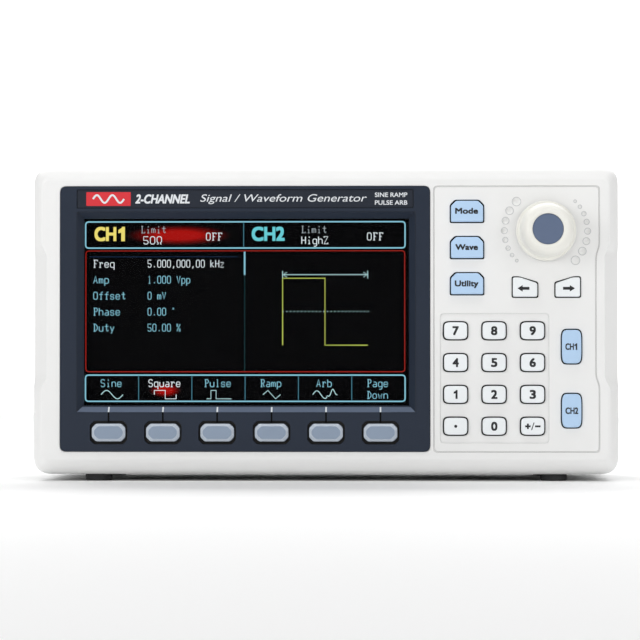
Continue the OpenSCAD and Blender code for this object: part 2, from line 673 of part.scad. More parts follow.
module connector_contacts() color("gold") {
    for (x = jack_x) difference() {
        deep_rod(x, jack_z, panel_depth + 4, body_depth + jack_proud - 1.8, 0.9);
        deep_rod(x, jack_z, panel_depth + 8, body_depth + jack_proud, 0.45);
    }
    deep_rod(dc_x, usb_z + 1, panel_depth - 10, panel_depth - 0.4, 1);
}
module usb_socket() color("silver") difference() {
    deep_box(usb_x, panel_depth - 16, panel_depth + 0.4, main_top, usb_z + 5.5, 12);
    translate([usb_x, face_y + panel_depth - 12, usb_z]) rotate([-90, 0, 0]) linear_extrude(20)
        polygon([[-4.25, 3.9], [-4.25, -2.4], [-2.75, -3.9], [2.75, -3.9], [4.25, -2.4], [4.25, 3.9]]);
}
module dc_jack() color([0.1, 0.1, 0.1]) difference() {
    deep_box(dc_x, panel_depth - 14, panel_depth + 0.4, main_top, usb_z + 5.5, 9.4);
    deep_rod(dc_x, usb_z + 1, panel_depth - 10, panel_depth + 1, 3.1);
}
module power_switch_frame() color([0.1, 0.1, 0.1]) difference() {
    union() {
        deep_box(rocker_x, panel_depth - 12, panel_depth + eps, jack_z - 9.4, jack_z + 9.4, 13);
        deep_box(rocker_x, panel_depth, panel_depth + 1.5, jack_z - 10.4, jack_z + 10.4, 15);
    }
    deep_box(rocker_x, panel_depth - 10, panel_depth + 3, jack_z - 8.2, jack_z + 8.2, 10.2);
    translate([rocker_x - 6.1, face_y + rocker_pivot, jack_z]) rotate([0, 90, 0])
        cylinder(h = 12.2, r = 1.06, $fn = bore_fn);
}
module power_rocker() color([0.08, 0.08, 0.09])
    translate([rocker_x, face_y + rocker_pivot, jack_z]) rotate([-rocker_swing / 2, 0, 0]) {
        translate([-4.9, 0, 0]) rotate([90, 0, 90]) linear_extrude(9.8)
            polygon([[-2.5, -4.5], [4.6, -7.2], [3.7, 0], [4.6, 7.2], [-2.5, 4.5]]);
        translate([-5.9, 0, 0]) rotate([0, 90, 0]) cylinder(h = 11.8, r = 1, $fn = bore_fn);
    }

// ---------------------------------------------------------------- tilt legs
module tilt_leg(x) color([0.8, 0.8, 0.79]) translate([x, face_y + leg_pivot_depth, leg_pivot_z]) {
    half = leg_w / 2;
    difference() {
        union() {
            translate([-half, 0, 0]) rotate([0, 90, 0]) cylinder(h = leg_w, r = leg_t / 2, $fn = bore_fn);
            translate([-half, 0, -leg_t / 2]) cube([leg_w, leg_length, leg_t]);
        }
        translate([-half + 4, 4, -leg_t]) cube([leg_w - 8, leg_length - 8, 2 * leg_t]);
        translate([-half - 1, leg_length, leg_t / 2]) rotate([45, 0, 0]) cube([leg_w + 2, 2, 2]);
    }
    translate([-half - 1.2, 0, 0]) rotate([0, 90, 0]) cylinder(h = leg_w + 2.4, r = 1.5, $fn = bore_fn);
}

front_bezel();
display_bezel();
name_plate();
display_window();
lcd_panel();
lcd_frame();
front_board();
tact_switches();
encoder_body();
main_board();
rf_shields();
chips();
capacitors();
ribbon_cable();
buzzer();
bnc_jack(jack_x[0]);  // bnc_jack_ch1
bnc_jack(jack_x[1]);  // bnc_jack_ch2
bnc_jack(jack_x[2]);  // bnc_jack_ext
bnc_nuts();
connector_insulators();
connector_contacts();
usb_socket();
dc_jack();
power_switch_frame();
rear_housing();
rubber_feet();
housing_screws();
board_screws();
knob();
knob_cap();
encoder_shaft();
encoder_plunger();
power_rocker();
tilt_leg(-leg_x);  // tilt_leg_left
tilt_leg(leg_x);  // tilt_leg_right
menu_key(0);  // key_mode
menu_key(1);  // key_wave
menu_key(2);  // key_utility
arrow_key(0);  // key_arrow_left
arrow_key(1);  // key_arrow_right
channel_key(0);  // key_ch1
channel_key(1);  // key_ch2
number_key(9);  // key_point
number_key(11);  // key_sign
number_key(10);  // key_0
number_key(6);  // key_1
number_key(7);  // key_2
number_key(8);  // key_3
number_key(3);  // key_4
number_key(4);  // key_5
number_key(5);  // key_6
number_key(0);  // key_7
number_key(1);  // key_8
number_key(2);  // key_9
soft_key(0);  // softkey_1
soft_key(1);  // softkey_2
soft_key(2);  // softkey_3
soft_key(3);  // softkey_4
soft_key(4);  // softkey_5
soft_key(5);  // softkey_6
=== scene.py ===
import math

import bpy
from mathutils import Matrix, Vector


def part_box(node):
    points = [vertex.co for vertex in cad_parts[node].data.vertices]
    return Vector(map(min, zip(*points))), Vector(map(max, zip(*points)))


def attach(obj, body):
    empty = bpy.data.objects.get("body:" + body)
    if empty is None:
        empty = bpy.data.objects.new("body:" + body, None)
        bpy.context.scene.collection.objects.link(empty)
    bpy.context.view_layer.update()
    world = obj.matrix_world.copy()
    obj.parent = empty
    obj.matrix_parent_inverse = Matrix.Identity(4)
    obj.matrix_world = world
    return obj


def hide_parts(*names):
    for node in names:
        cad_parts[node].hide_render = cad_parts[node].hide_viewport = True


# The looks of a compact two-channel function generator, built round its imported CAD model.
# Places on the front are given as (x, z) in millimetres from the centre of the face, with w
# the height out of the face, so a negative w is behind it. on_face() turns them into metres.
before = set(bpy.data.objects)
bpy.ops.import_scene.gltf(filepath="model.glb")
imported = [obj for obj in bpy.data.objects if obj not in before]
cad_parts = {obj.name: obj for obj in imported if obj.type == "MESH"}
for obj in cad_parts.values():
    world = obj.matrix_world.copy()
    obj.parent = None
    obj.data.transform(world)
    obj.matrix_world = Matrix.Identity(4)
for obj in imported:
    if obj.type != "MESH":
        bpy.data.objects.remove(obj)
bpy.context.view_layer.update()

MM = 0.001
HOUSING = "housing"

# ---------------------------------------------------------------- where things are
bezel_low, bezel_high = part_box("front_bezel")
knob_low, knob_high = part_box("knob")
FACE_Y = bezel_low.y
CENTRE_Z = (bezel_low.z + bezel_high.z) / 2
BODY_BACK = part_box("rear_housing")[1].y
BAY_DEPTH = 0.003
BACK_Y = BODY_BACK - BAY_DEPTH


def on_face(x, z, w):
    """A point given on the face, in the frame, in metres."""
    return Vector((x * MM, FACE_Y - w * MM, CENTRE_Z + z * MM))


def on_back(x, z, w):
    """The same for the rear face, seen from behind."""
    return Vector((-x * MM, BODY_BACK + w * MM, CENTRE_Z + z * MM))


def face_box(node):
    """Centre and half size of a CAD node seen from the front, in mm from the face's centre."""
    low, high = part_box(node)
    centre = ((low.x + high.x) / 2 / MM, ((low.z + high.z) / 2 - CENTRE_Z) / MM)
    half = ((high.x - low.x) / 2 / MM, (high.z - low.z) / 2 / MM)
    return centre, half


# The display's centre, the height of its surface, and the sides of the picture from that centre.
SCREEN = face_box("lcd_panel")[0]
PICTURE_W = -(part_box("lcd_panel")[0].y - FACE_Y) / MM
PICTURE_LEFT = -48.0
PICTURE_RIGHT = 47.1
# Where the painted black shade of the wells starts behind the surround's front, and the sill under the
# display, whose upward faces get a painted highlight.
WELL_EDGE = -0.05
SILL = (-27.3, -25.75)


# ---------------------------------------------------------------- materials
def linear(red, green, blue):
    """A colour given as 0 to 255 display values, as the shader's linear one."""
    def channel(value):
        v = value / 255
        return v / 12.92 if v <= 0.04045 else ((v + 0.055) / 1.055) ** 2.4
    return (channel(red), channel(green), channel(blue), 1)


class Nodes:
    """A small helper that adds and links shader nodes."""

    def __init__(self, name):
        self.material = bpy.data.materials.new(name)
        self.material.use_nodes = True
        self.tree = self.material.node_tree
        self.shader = self.tree.nodes["Principled BSDF"]

    def add(self, kind, **settings):
        node = self.tree.nodes.new(kind)
        for key, value in settings.items():
            setattr(node, key, value)
        return node

    def link(self, out, into):
        self.tree.links.new(out, into)

    def place(self):
        return self.add("ShaderNodeTexCoord").outputs["Object"]

    def noise(self, scale, detail=4, rough=0.55):
        node = self.add("ShaderNodeTexNoise")
        node.inputs["Scale"].default_value = scale
        node.inputs["Detail"].default_value = detail
        node.inputs["Roughness"].default_value = rough
        self.link(self.place(), node.inputs["Vector"])
        return node.outputs["Fac"]

    def ramp(self, value, low, high, to_low, to_high):
        node = self.add("ShaderNodeMapRange")
        node.inputs["From Min"].default_value = low
        node.inputs["From Max"].default_value = high
        node.inputs["To Min"].default_value = to_low
        node.inputs["To Max"].default_value = to_high
        self.link(value, node.inputs["Value"])
        return node.outputs["Result"]

    def mix(self, factor, first, second):
        """Mixes two colours, each a fixed colour or another node's output."""
        node = self.add("ShaderNodeMix", data_type="RGBA")
        self.link(factor, node.inputs["Factor"])
        for name, value in (("A", first), ("B", second)):
            socket = [s for s in node.inputs if s.name == name and s.type == "RGBA"][0]
            if isinstance(value, tuple):
                socket.default_value = value
            else:
                self.link(value, socket)
        return [s for s in node.outputs if s.type == "RGBA"][0]

    def math(self, operation, first, second):
        node = self.add("ShaderNodeMath", operation=operation)
        for socket, value in zip(node.inputs, (first, second)):
            if isinstance(value, (int, float)):
                socket.default_value = value
            else:
                self.link(value, socket)
        return node.outputs[0]

    def bump(self, height, strength, distance):
        node = self.add("ShaderNodeBump")
        node.inputs["Strength"].default_value = strength
        node.inputs["Distance"].default_value = distance
        self.link(height, node.inputs["Height"])
        self.link(node.outputs["Normal"], self.shader.inputs["Normal"])

    def set(self, **values):
        for key, value in values.items():
            self.shader.inputs[key.replace("_", " ")].default_value = value


def shaded(colour, amount):
    """The colour made lighter or darker by a share."""
    return tuple(min(1, c * (1 + amount)) for c in colour[:3]) + (1,)


# How far the painted crevice shade reaches, in metres.
CREVICE_SHADE_REACH = 0.0008


def plastic(name, colour, rough=0.4, grain=2600, depth=0.00002, vary=0.03, crevice_shade=0.0, **settings):
    """Moulded plastic: fine spark texture, slow random change of tone, uneven gloss, and painted shade that
    darkens its grooves and gaps.
    """
    n = Nodes(name)
    slow = n.ramp(n.noise(45, 3), 0.3, 0.7, 0, 1)
    shade = n.mix(slow, shaded(colour, -vary), shaded(colour, vary))
    # Painted shade: ambient occlusion darkens the colour in grooves, gaps and hollows.
    if crevice_shade:
        crevice_occlusion = n.add("ShaderNodeAmbientOcclusion", only_local=True, samples=6)
        crevice_occlusion.inputs["Distance"].default_value = CREVICE_SHADE_REACH
        shade = n.mix(n.ramp(crevice_occlusion.outputs["AO"], 0.45, 0.95, crevice_shade, 0), shade, shaded(colour, -0.75))
    n.link(shade, n.shader.inputs["Base Color"])
    n.link(n.ramp(n.noise(380, 3), 0.3, 0.7, rough - 0.05, rough + 0.05), n.shader.inputs["Roughness"])
    n.bump(n.noise(grain, 2), 0.25, depth)
    n.set(**settings)
    return n


def metal(name, colour, rough=0.28, vary=0.08, scale=900):
    """Plated or drawn metal with faint handling marks."""
    n = Nodes(name)
    marks = n.ramp(n.noise(scale, 5, 0.7), 0.35, 0.65, 0, 1)
    n.link(n.mix(marks, shaded(colour, -vary), shaded(colour, vary)), n.shader.inputs["Base Color"])
    n.link(n.ramp(n.noise(scale / 3, 4), 0.3, 0.7, rough - 0.08, rough + 0.1), n.shader.inputs["Roughness"])
    n.bump(n.noise(scale * 2, 3), 0.12, 0.00001)
    n.set(Metallic=1.0)
    return n


def circuit_board(name):
    """Green solder mask over a mesh of copper tracks."""
    n = Nodes(name)
    brick = n.add("ShaderNodeTexBrick")
    brick.inputs["Scale"].default_value = 260
    brick.inputs["Mortar Size"].default_value = 0.025
    n.link(n.place(), brick.inputs["Vector"])
    mask = n.mix(n.noise(700, 2), linear(12, 74, 38), linear(20, 96, 50))
    n.link(n.mix(brick.outputs["Fac"], mask, linear(70, 140, 80)), n.shader.inputs["Base Color"])
    n.link(n.ramp(n.noise(500, 2), 0.3, 0.7, 0.28, 0.42), n.shader.inputs["Roughness"])
    n.bump(brick.outputs["Fac"], 0.2, 0.00003)
    return n


def lit(name, colour, strength):
    """Part of the picture on the display: it glows, with the faint rows of the panel's dots."""
    n = Nodes(name)
    rows = n.add("ShaderNodeTexWave", bands_direction="Z")
    rows.inputs["Scale"].default_value = 800
    n.link(n.place(), rows.inputs["Vector"])
    glow = n.mix(rows.outputs["Fac"], shaded(colour, -0.1), colour)
    n.link(glow, n.shader.inputs["Emission Color"])
    n.link(n.mix(rows.outputs["Fac"], linear(4, 4, 6), linear(8, 8, 10)), n.shader.inputs["Base Color"])
    n.set(Emission_Strength=strength, Roughness=0.6, Specular_IOR_Level=0.05)
    return n


def polished_edges(name, colour, highlight_colour):
    """Plastic whose sloping edges are painted lighter than its flat front: a painted highlight."""
    n = plastic(name, colour, rough=0.34, vary=0.02)
    flat = n.shader.inputs["Base Color"].links[0].from_socket
    split = n.add("ShaderNodeSeparateXYZ")
    n.link(n.add("ShaderNodeNewGeometry").outputs["True Normal"], split.inputs[0])
    # Painted highlight: faces that slope away from the front are painted lighter.
    sloping_highlight = n.ramp(n.math("ABSOLUTE", split.outputs["Y"], 0), 0.8, 0.95, 1, 0)
    n.link(n.mix(sloping_highlight, flat, highlight_colour), n.shader.inputs["Base Color"])
    return n


def surround_plastic(name):
    """Slate satin plastic with painted light: black painted shade where it drops into the wells, and a
    painted highlight on the upward-facing sill under the display.
    """
    n = plastic(name, linear(30, 40, 56), rough=0.38, grain=3200, vary=0.04, crevice_shade=0.6)
    slate = n.shader.inputs["Base Color"].links[0].from_socket
    split = n.add("ShaderNodeSeparateXYZ")
    n.link(n.place(), split.inputs[0])
    height = n.math("SUBTRACT", split.outputs["Z"], CENTRE_Z)
    # Painted shade: black where the surround drops back into the wells.
    deep = n.math("GREATER_THAN", split.outputs["Y"], FACE_Y + WELL_EDGE * MM)
    below = n.math("LESS_THAN", height, SILL[0] * MM)
    well = n.math("MULTIPLY", deep, below)
    # Painted highlight: the sill's upward-facing faces are painted a lighter slate.
    on_sill = n.math("MULTIPLY", n.math("GREATER_THAN", height, SILL[0] * MM),
                     n.math("LESS_THAN", height, SILL[1] * MM))
    facing = n.add("ShaderNodeSeparateXYZ")
    n.link(n.add("ShaderNodeNewGeometry").outputs["Normal"], facing.inputs[0])
    up = n.math("GREATER_THAN", facing.outputs["Z"], 0.3)
    sill = n.math("MULTIPLY", on_sill, up)
    with_sill = n.mix(sill, slate, linear(90, 103, 124))
    n.link(n.mix(well, with_sill, linear(3, 3, 4)), n.shader.inputs["Base Color"])
    n.set(Specular_IOR_Level=0.35)
    return n


# The crevice amounts set how strongly painted shade darkens each plastic's grooves and gaps.
WHITE = plastic("white_shell", linear(238, 238, 237), rough=0.46, vary=0.008, crevice_shade=0.4)
REAR = plastic("rear_shell", linear(206, 207, 206), rough=0.5, grain=1900, depth=0.00003, vary=0.012,
               crevice_shade=0.3)
SURROUND = surround_plastic("dark_surround")
STRIP = plastic("name_strip", linear(26, 33, 46), rough=0.36, grain=3600, crevice_shade=0.6,
               Specular_IOR_Level=0.4)
BLUE_KEY = plastic("blue_key", linear(182, 211, 241), rough=0.36, vary=0.015)
FROSTED = plastic("frosted_key", linear(240, 244, 246), rough=0.38, vary=0.012)
GREY_KEY = polished_edges("grey_key", linear(140, 155, 175), linear(190, 200, 212))
IVORY = plastic("ivory_knob", linear(238, 237, 230), rough=0.42, vary=0.01)
SLATE = plastic("slate_cap", linear(92, 107, 134), rough=0.4, vary=0.03)
BLACK = plastic("black_plastic", linear(26, 26, 28), rough=0.42, vary=0.1)
# Painted shade: near-black for the sheets put in the gaps round keys and in grooves.
GAP_SHADE_LOOK = plastic("painted_gap_shade", linear(8, 8, 9), rough=0.8, vary=0.1, Specular_IOR_Level=0.1)
# Painted shade: grey for the lines round the dimples.
DIMPLE_EDGE_SHADE = plastic("painted_dimple_shade", linear(198, 199, 200), rough=0.5, vary=0.02)
RUBBER = plastic("rubber_grey", linear(40, 40, 42), rough=0.75, grain=1500, depth=0.00005, vary=0.1)
INSULATOR = plastic("insulator", linear(236, 234, 226), rough=0.45)
CHIP = plastic("chip_black", linear(34, 34, 36), rough=0.6, grain=2200, vary=0.1)
RIBBON = plastic("grey_ribbon", linear(176, 178, 182), rough=0.5, vary=0.05)
LEGEND = plastic("legend_black", linear(22, 23, 27), rough=0.5, vary=0.1)
PRINT = plastic("print_white", linear(222, 226, 230), rough=0.5, vary=0.03)
PRINT_GREY = plastic("print_grey", linear(62, 65, 70), rough=0.5, vary=0.03)
BADGE = plastic("badge_red", linear(214, 44, 54), rough=0.35, vary=0.04)
LCD = plastic("lcd_glass", linear(2, 2, 3), rough=0.3, grain=900, depth=0.000004, vary=0.2,
              Specular_IOR_Level=0.02)
STEEL = metal("steel", (0.55, 0.55, 0.55, 1))
TIN = metal("tin", (0.66, 0.66, 0.64, 1), rough=0.34)
NICKEL = metal("nickel", (0.72, 0.7, 0.66, 1), rough=0.18)
CAN = metal("can_aluminium", (0.62, 0.63, 0.66, 1), rough=0.3)
GOLD = metal("gold_contact", (0.85, 0.62, 0.25, 1), rough=0.2)
BOARD = circuit_board("circuit_board")
CYAN = lit("lit_cyan", linear(140, 205, 225), 1.0)
PALE = lit("lit_pale", linear(235, 245, 250), 1.0)
PALE_CYAN = lit("lit_pale_cyan", linear(190, 232, 236), 1.0)
YELLOW = lit("lit_yellow", linear(250, 232, 120), 1.0)
AQUA = lit("lit_aqua", linear(110, 215, 225), 1.0)
RED_LINE = lit("lit_red", linear(168, 34, 24), 1.0)
GREEN_LINE = lit("lit_green", linear(206, 222, 96), 1.0)
TEAL_LINE = lit("lit_teal", linear(14, 56, 60), 1.0)
TEAL_WALL = lit("lit_wall", linear(70, 130, 150), 1.0)
GREY_TEXT = lit("lit_grey", linear(160, 170, 176), 1.0)
BLUE_LINE = lit("lit_blue", linear(16, 40, 70), 1.0)


def clear_window(name):
    """The clear window: see-through, slightly tinted, with a faint polish."""
    n = Nodes(name)
    n.link(n.ramp(n.noise(200, 2), 0.3, 0.7, 0.04, 0.09), n.shader.inputs["Roughness"])
    n.link(n.mix(n.noise(90, 2), linear(6, 7, 9), linear(12, 13, 16)), n.shader.inputs["Base Color"])
    n.set(Alpha=0.05, Specular_IOR_Level=0.5)
    return n


WINDOW = clear_window("clear_window")


# ---------------------------------------------------------------- outlines
def rounded(points, radius, steps=6):
    """A closed outline with each corner rounded."""
    made = []
    for i, corner in enumerate(points):
        before, after = Vector(points[i - 1]), Vector(points[(i + 1) % len(points)])
        corner = Vector(corner)
        start = corner + (before - corner).normalized() * radius
        end = corner + (after - corner).normalized() * radius
        for k in range(steps + 1):
            t = k / steps
            p = start * (1 - t) ** 2 + corner * 2 * t * (1 - t) + end * t * t
            made.append((p.x, p.y))
    return made


def rectangle(x0, z0, x1, z1, radius=0.3, steps=6):
    return rounded([(x0, z0), (x1, z0), (x1, z1), (x0, z1)], radius, steps)


def barrel(half_x, half_z, power=5, count=72):
    """A rectangle with bowed sides and soft corners."""
    made = []
    for i in range(count):
        c, s = math.cos(math.tau * i / count), math.sin(math.tau * i / count)
        made.append((half_x * math.copysign(abs(c) ** (2 / power), c),
                     half_z * math.copysign(abs(s) ** (2 / power), s)))
    return made


def menu_outline(a, b):
    cut = 1.5
    return rounded([(-a, -b), (a, -b), (a, b - cut), (a - cut, b), (cut - a, b), (-a, b - cut)], 0.5)


def soft_outline(a, b):
    cut = 1.25
    return rounded([(cut - a, -b), (a - cut, -b), (a, cut - b), (a, b - cut),
                    (a - cut, b), (cut - a, b), (-a, b - cut), (-a, cut - b)], 0.5)


def arrow_outline(a, b, side=1):
    """The arrow keys slope away from the knob; side is -1 for the mirrored one."""
    points = [(-a, -b), (a, -b), (a, b - 1.7), (2.2 - a, b), (-a, b)]
    if side < 0:
        points = [(-x, z) for x, z in reversed(points)]
    return rounded(points, 0.6)


# ---------------------------------------------------------------- mesh building
def add_mesh(name, points, faces, look, body):
    """A new mesh piece with its points in the frame, in metres, that rides on a body."""
    mesh = bpy.data.meshes.new(name)
    mesh.from_pydata([tuple(p) for p in points], [], faces)
    mesh.validate()
    piece = bpy.data.objects.new(name, mesh)
    bpy.context.scene.collection.objects.link(piece)
    mesh.materials.append(look.material)
    smooth(piece)
    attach(piece, body)
    return piece


def smooth(piece, angle=32):
    """Smooth shading that leaves edges sharper than the angle."""
    mesh = piece.data
    mesh.shade_smooth()
    mesh.set_sharp_from_angle(angle=math.radians(angle))


def loft(name, at, rings, look, body, closed=True, put=on_face):
    """A solid through rings of points; each ring is (outline, w), and put says where its points go."""
    points, faces = [], []
    count = len(rings[0][0])
    for outline, w in rings:
        points += [put(at[0] + x, at[1] + z, w) for x, z in outline]
    for r in range(len(rings) - 1):
        for i in range(count):
            j = (i + 1) % count
            faces.append((r * count + i, r * count + j, (r + 1) * count + j, (r + 1) * count + i))
    if closed:
        faces.append(tuple(reversed(range(count))))
        faces.append(tuple(range((len(rings) - 1) * count, len(rings) * count)))
    else:
        last = (len(rings) - 1) * count
        for i in range(count):
            j = (i + 1) % count
            faces.append((last + i, last + j, j, i))
    return add_mesh(name, points, faces, look, body)


def lathe(name, at, profile, look, body, count=128):
    """A solid of revolution about the axis out of the face; profile is a list of (radius, w)."""
    points, faces = [], []
    for radius, w in profile:
        for i in range(count):
            a = math.tau * i / count
            points.append(on_face(at[0] + radius * math.cos(a), at[1] + radius * math.sin(a), w))
    for r in range(len(profile) - 1):
        for i in range(count):
            j = (i + 1) % count
            faces.append((r * count + i, r * count + j, (r + 1) * count + j, (r + 1) * count + i))
    faces.append(tuple(reversed(range(count))))
    faces.append(tuple(range((len(profile) - 1) * count, len(profile) * count)))
    return add_mesh(name, points, faces, look, body)


def circle(radius, count=32):
    return [(radius * math.cos(math.tau * i / count), radius * math.sin(math.tau * i / count))
            for i in range(count)]


def arc(centre, radius, start, end, steps=8):
    """Points (r, w) on an arc, angles in degrees."""
    made = []
    for k in range(steps + 1):
        a = math.radians(start + (end - start) * k / steps)
        made.append((centre[0] + radius[0] * math.cos(a), centre[1] + radius[1] * math.sin(a)))
    return made


def lettering(name, text, at, height, look, body, w, width=None, weight=0.0, slant=0.0,
              thick=0.03, align="CENTER", put=on_face):
    """Raised print: text of a given height, where put places it.

    weight is how much the strokes are thickened, in mm, by laying the letters down several times.
    """
    curve = bpy.data.curves.new(name, "FONT")
    curve.body = text
    curve.align_x = align
    curve.shear = slant
    curve.resolution_u = 6
    holder = bpy.data.objects.new(name, curve)
    bpy.context.scene.collection.objects.link(holder)
    bpy.context.view_layer.update()
    flat = bpy.data.meshes.new_from_object(holder.evaluated_get(bpy.context.evaluated_depsgraph_get()))
    bpy.data.objects.remove(holder)
    xs = [v.co.x for v in flat.vertices]
    ys = [v.co.y for v in flat.vertices]
    scale_z = (height - weight) / (max(ys) - min(ys))
    scale_x = (width - weight) / (max(xs) - min(xs)) if width else scale_z
    mid_x = (max(xs) + min(xs)) / 2 if align == "CENTER" else min(xs)
    mid_y = (max(ys) + min(ys)) / 2
    half = weight / 2
    shifts = [(-half, -half), (half, -half), (half, half), (-half, half), (0, 0)] if weight else [(0, 0)]
    points, faces = [], []
    for layer, (shift_x, shift_z) in enumerate(shifts):
        for rise in (0, thick + 0.002 * layer):
            for v in flat.vertices:
                x = at[0] + (v.co.x - mid_x) * scale_x + shift_x
                z = at[1] + (v.co.y - mid_y) * scale_z + shift_z
                points.append(put(x, z, w + rise))
        faces += raised(flat, 2 * layer * len(flat.vertices))
    bpy.data.meshes.remove(flat)
    return add_mesh(name, points, faces, look, body)


def raised(flat, first):
    """The faces of a flat mesh's raised solid: its back, its front and the walls between them."""
    count = len(flat.vertices)
    faces, rim = [], {}
    for p in flat.polygons:
        ring = [v + first for v in p.vertices]
        faces.append(tuple(v + count for v in ring))
        faces.append(tuple(reversed(ring)))
        for a, b in zip(ring, ring[1:] + ring[:1]):
            if (b, a) in rim:
                del rim[(b, a)]
            else:
                rim[(a, b)] = True
    return faces + [(a, b, b + count, a + count) for a, b in rim]


def tubes(name, lines, radius, look, w, closed=False):
    """Glowing lines of the picture: thin tubes along the lines, half sunk in the display."""
    curve = bpy.data.curves.new(name, "CURVE")
    curve.dimensions = "3D"
    curve.bevel_depth = radius * MM
    curve.bevel_resolution = 1
    curve.use_fill_caps = True
    for line in lines:
        spline = curve.splines.new("POLY")
        spline.points.add(len(line) - 1)
        for point, (x, z) in zip(spline.points, line):
            point.co = (*on_face(SCREEN[0] + x, SCREEN[1] + z, w), 1)
        spline.use_cyclic_u = closed
    piece = bpy.data.objects.new(name, curve)
    bpy.context.scene.collection.objects.link(piece)
    curve.materials.append(look.material)
    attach(piece, HOUSING)
    return piece


# ---------------------------------------------------------------- CAD nodes that stay
def finish_node(name, look, round_off=0.12):
    """Gives a CAD node its material, and rounds its sharp edges with modifiers."""
    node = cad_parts[name]
    node.data.materials.clear()
    node.data.materials.append(look.material)
    weld = node.modifiers.new("weld", "WELD")
    weld.merge_threshold = 2e-6
    if round_off:
        flat = node.modifiers.new("flat", "DECIMATE")
        flat.decimate_type = "DISSOLVE"
        flat.angle_limit = math.radians(0.6)
        edge = node.modifiers.new("edge", "BEVEL")
        edge.width = round_off * MM
        edge.segments = 2
        edge.limit_method = "ANGLE"
        edge.angle_limit = math.radians(32)
        edge.use_clamp_overlap = False
    shade = node.modifiers.new("shade", "NODES")
    shade.node_group = SMOOTH_GROUP
    even = node.modifiers.new("even", "WEIGHTED_NORMAL")
    even.keep_sharp = True
    return node


def smooth_group(angle=34):
    """A modifier that shades a mesh smooth, except at edges sharper than the angle."""
    group = bpy.data.node_groups.new("smooth_by_angle", "GeometryNodeTree")
    group.interface.new_socket("Geometry", in_out="INPUT", socket_type="NodeSocketGeometry")
    group.interface.new_socket("Geometry", in_out="OUTPUT", socket_type="NodeSocketGeometry")
    make = group.nodes.new
    start, end = make("NodeGroupInput"), make("NodeGroupOutput")
    clean = make("GeometryNodeRemoveAttribute")
    clean.inputs["Name"].default_value = "custom_normal"
    faces = make("GeometryNodeSetShadeSmooth")
    edges = make("GeometryNodeSetShadeSmooth")
    edges.domain = "EDGE"
    turn = make("GeometryNodeInputMeshEdgeAngle")
    gentle = make("FunctionNodeCompare")
    gentle.operation = "LESS_THAN"
    gentle.inputs["B"].default_value = math.radians(angle)
    link = group.links.new
    link(start.outputs[0], clean.inputs[0])
    link(clean.outputs[0], faces.inputs[0])
    link(faces.outputs[0], edges.inputs[0])
    link(turn.outputs["Unsigned Angle"], gentle.inputs["A"])
    link(gentle.outputs[0], edges.inputs["Shade Smooth"])
    link(edges.outputs[0], end.inputs[0])
    return group


SMOOTH_GROUP = smooth_group()

NODE_LOOKS = {
    "front_bezel": (WHITE, 0.13), "rear_housing": (REAR, 0.12), "display_bezel": (SURROUND, 0.1),
    "name_plate": (STRIP, 0.05), "display_window": (WINDOW, 0), "lcd_panel": (LCD, 0),
    "lcd_frame": (TIN, 0.1), "front_board": (BOARD, 0), "main_board": (BOARD, 0),
    "tact_switches": (BLACK, 0.1), "encoder_body": (STEEL, 0.1), "encoder_shaft": (STEEL, 0.1),
    "encoder_plunger": (INSULATOR, 0.1), "rf_shields": (TIN, 0.1), "chips": (CHIP, 0.1),
    "capacitors": (CAN, 0.1), "ribbon_cable": (RIBBON, 0.05), "buzzer": (BLACK, 0.2),
    "bnc_jack_ch1": (NICKEL, 0.15), "bnc_jack_ch2": (NICKEL, 0.15), "bnc_jack_ext": (NICKEL, 0.15),
    "bnc_nuts": (NICKEL, 0.2), "connector_insulators": (INSULATOR, 0.1),
    "connector_contacts": (GOLD, 0.05), "usb_socket": (TIN, 0.1), "dc_jack": (BLACK, 0.15),
    "power_switch_frame": (BLACK, 0.2), "rubber_feet": (RUBBER, 0.4), "housing_screws": (STEEL, 0.1),
    "board_screws": (STEEL, 0.1), "power_rocker": (BLACK, 0.3), "tilt_leg_left": (REAR, 0.12),
    "tilt_leg_right": (REAR, 0.12),
}
for node_name, (look, round_off) in NODE_LOOKS.items():
    finish_node(node_name, look, round_off)

# ---------------------------------------------------------------- keys
FLANGE = 0.7
KEY_TOP = -(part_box("key_mode")[0].y - FACE_Y) / MM
SOFT_TOP = -(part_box("softkey_1")[0].y - FACE_Y) / MM
KEY_FOOT = -3.4
FLANGE_TOP = -2.4
KEY_GAP = 0.35
# The top and foot of the sheet of painted shade in each key's gap.
GAP_SHADE_TOP = -0.15
GAP_SHADE_FOOT = -2.1
CAP_CLEARANCE = 0.06
HOLE_CLEARANCE = 0.02
# How deep the print on a key starts, and how thick it is.
PRINT_SUNK = 0.12
PRINT_THICK = 0.14


def key_piece(node, outline, look, top, edge=0.45, crown=0.12, steps=6):
    """A key cap: a flange behind the face, straight sides, a rounded edge and a slight crown."""
    centre, half = face_box(node)
    a, b = half[0] - FLANGE, half[1] - FLANGE
    rings = [(outline(a + FLANGE, b + FLANGE), KEY_FOOT), (outline(a + FLANGE, b + FLANGE), FLANGE_TOP - 0.1),
             (outline(a + FLANGE - 0.1, b + FLANGE - 0.1), FLANGE_TOP), (outline(a, b), FLANGE_TOP)]
    for inset, w in arc((0, top - crown - edge), (edge, edge), 0, 90, steps):
        rings.append((outline(a - edge + inset, b - edge + inset), w))
    flat = rings[-1][0]
    for share in (0.85, 0.65, 0.4, 0.2):
        rings.append(([(x * share, z * share) for x, z in flat], top - crown * share ** 2))
    piece = loft(node + "_cap", centre, rings, look, node)
    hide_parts(node)
    return centre, (a, b)


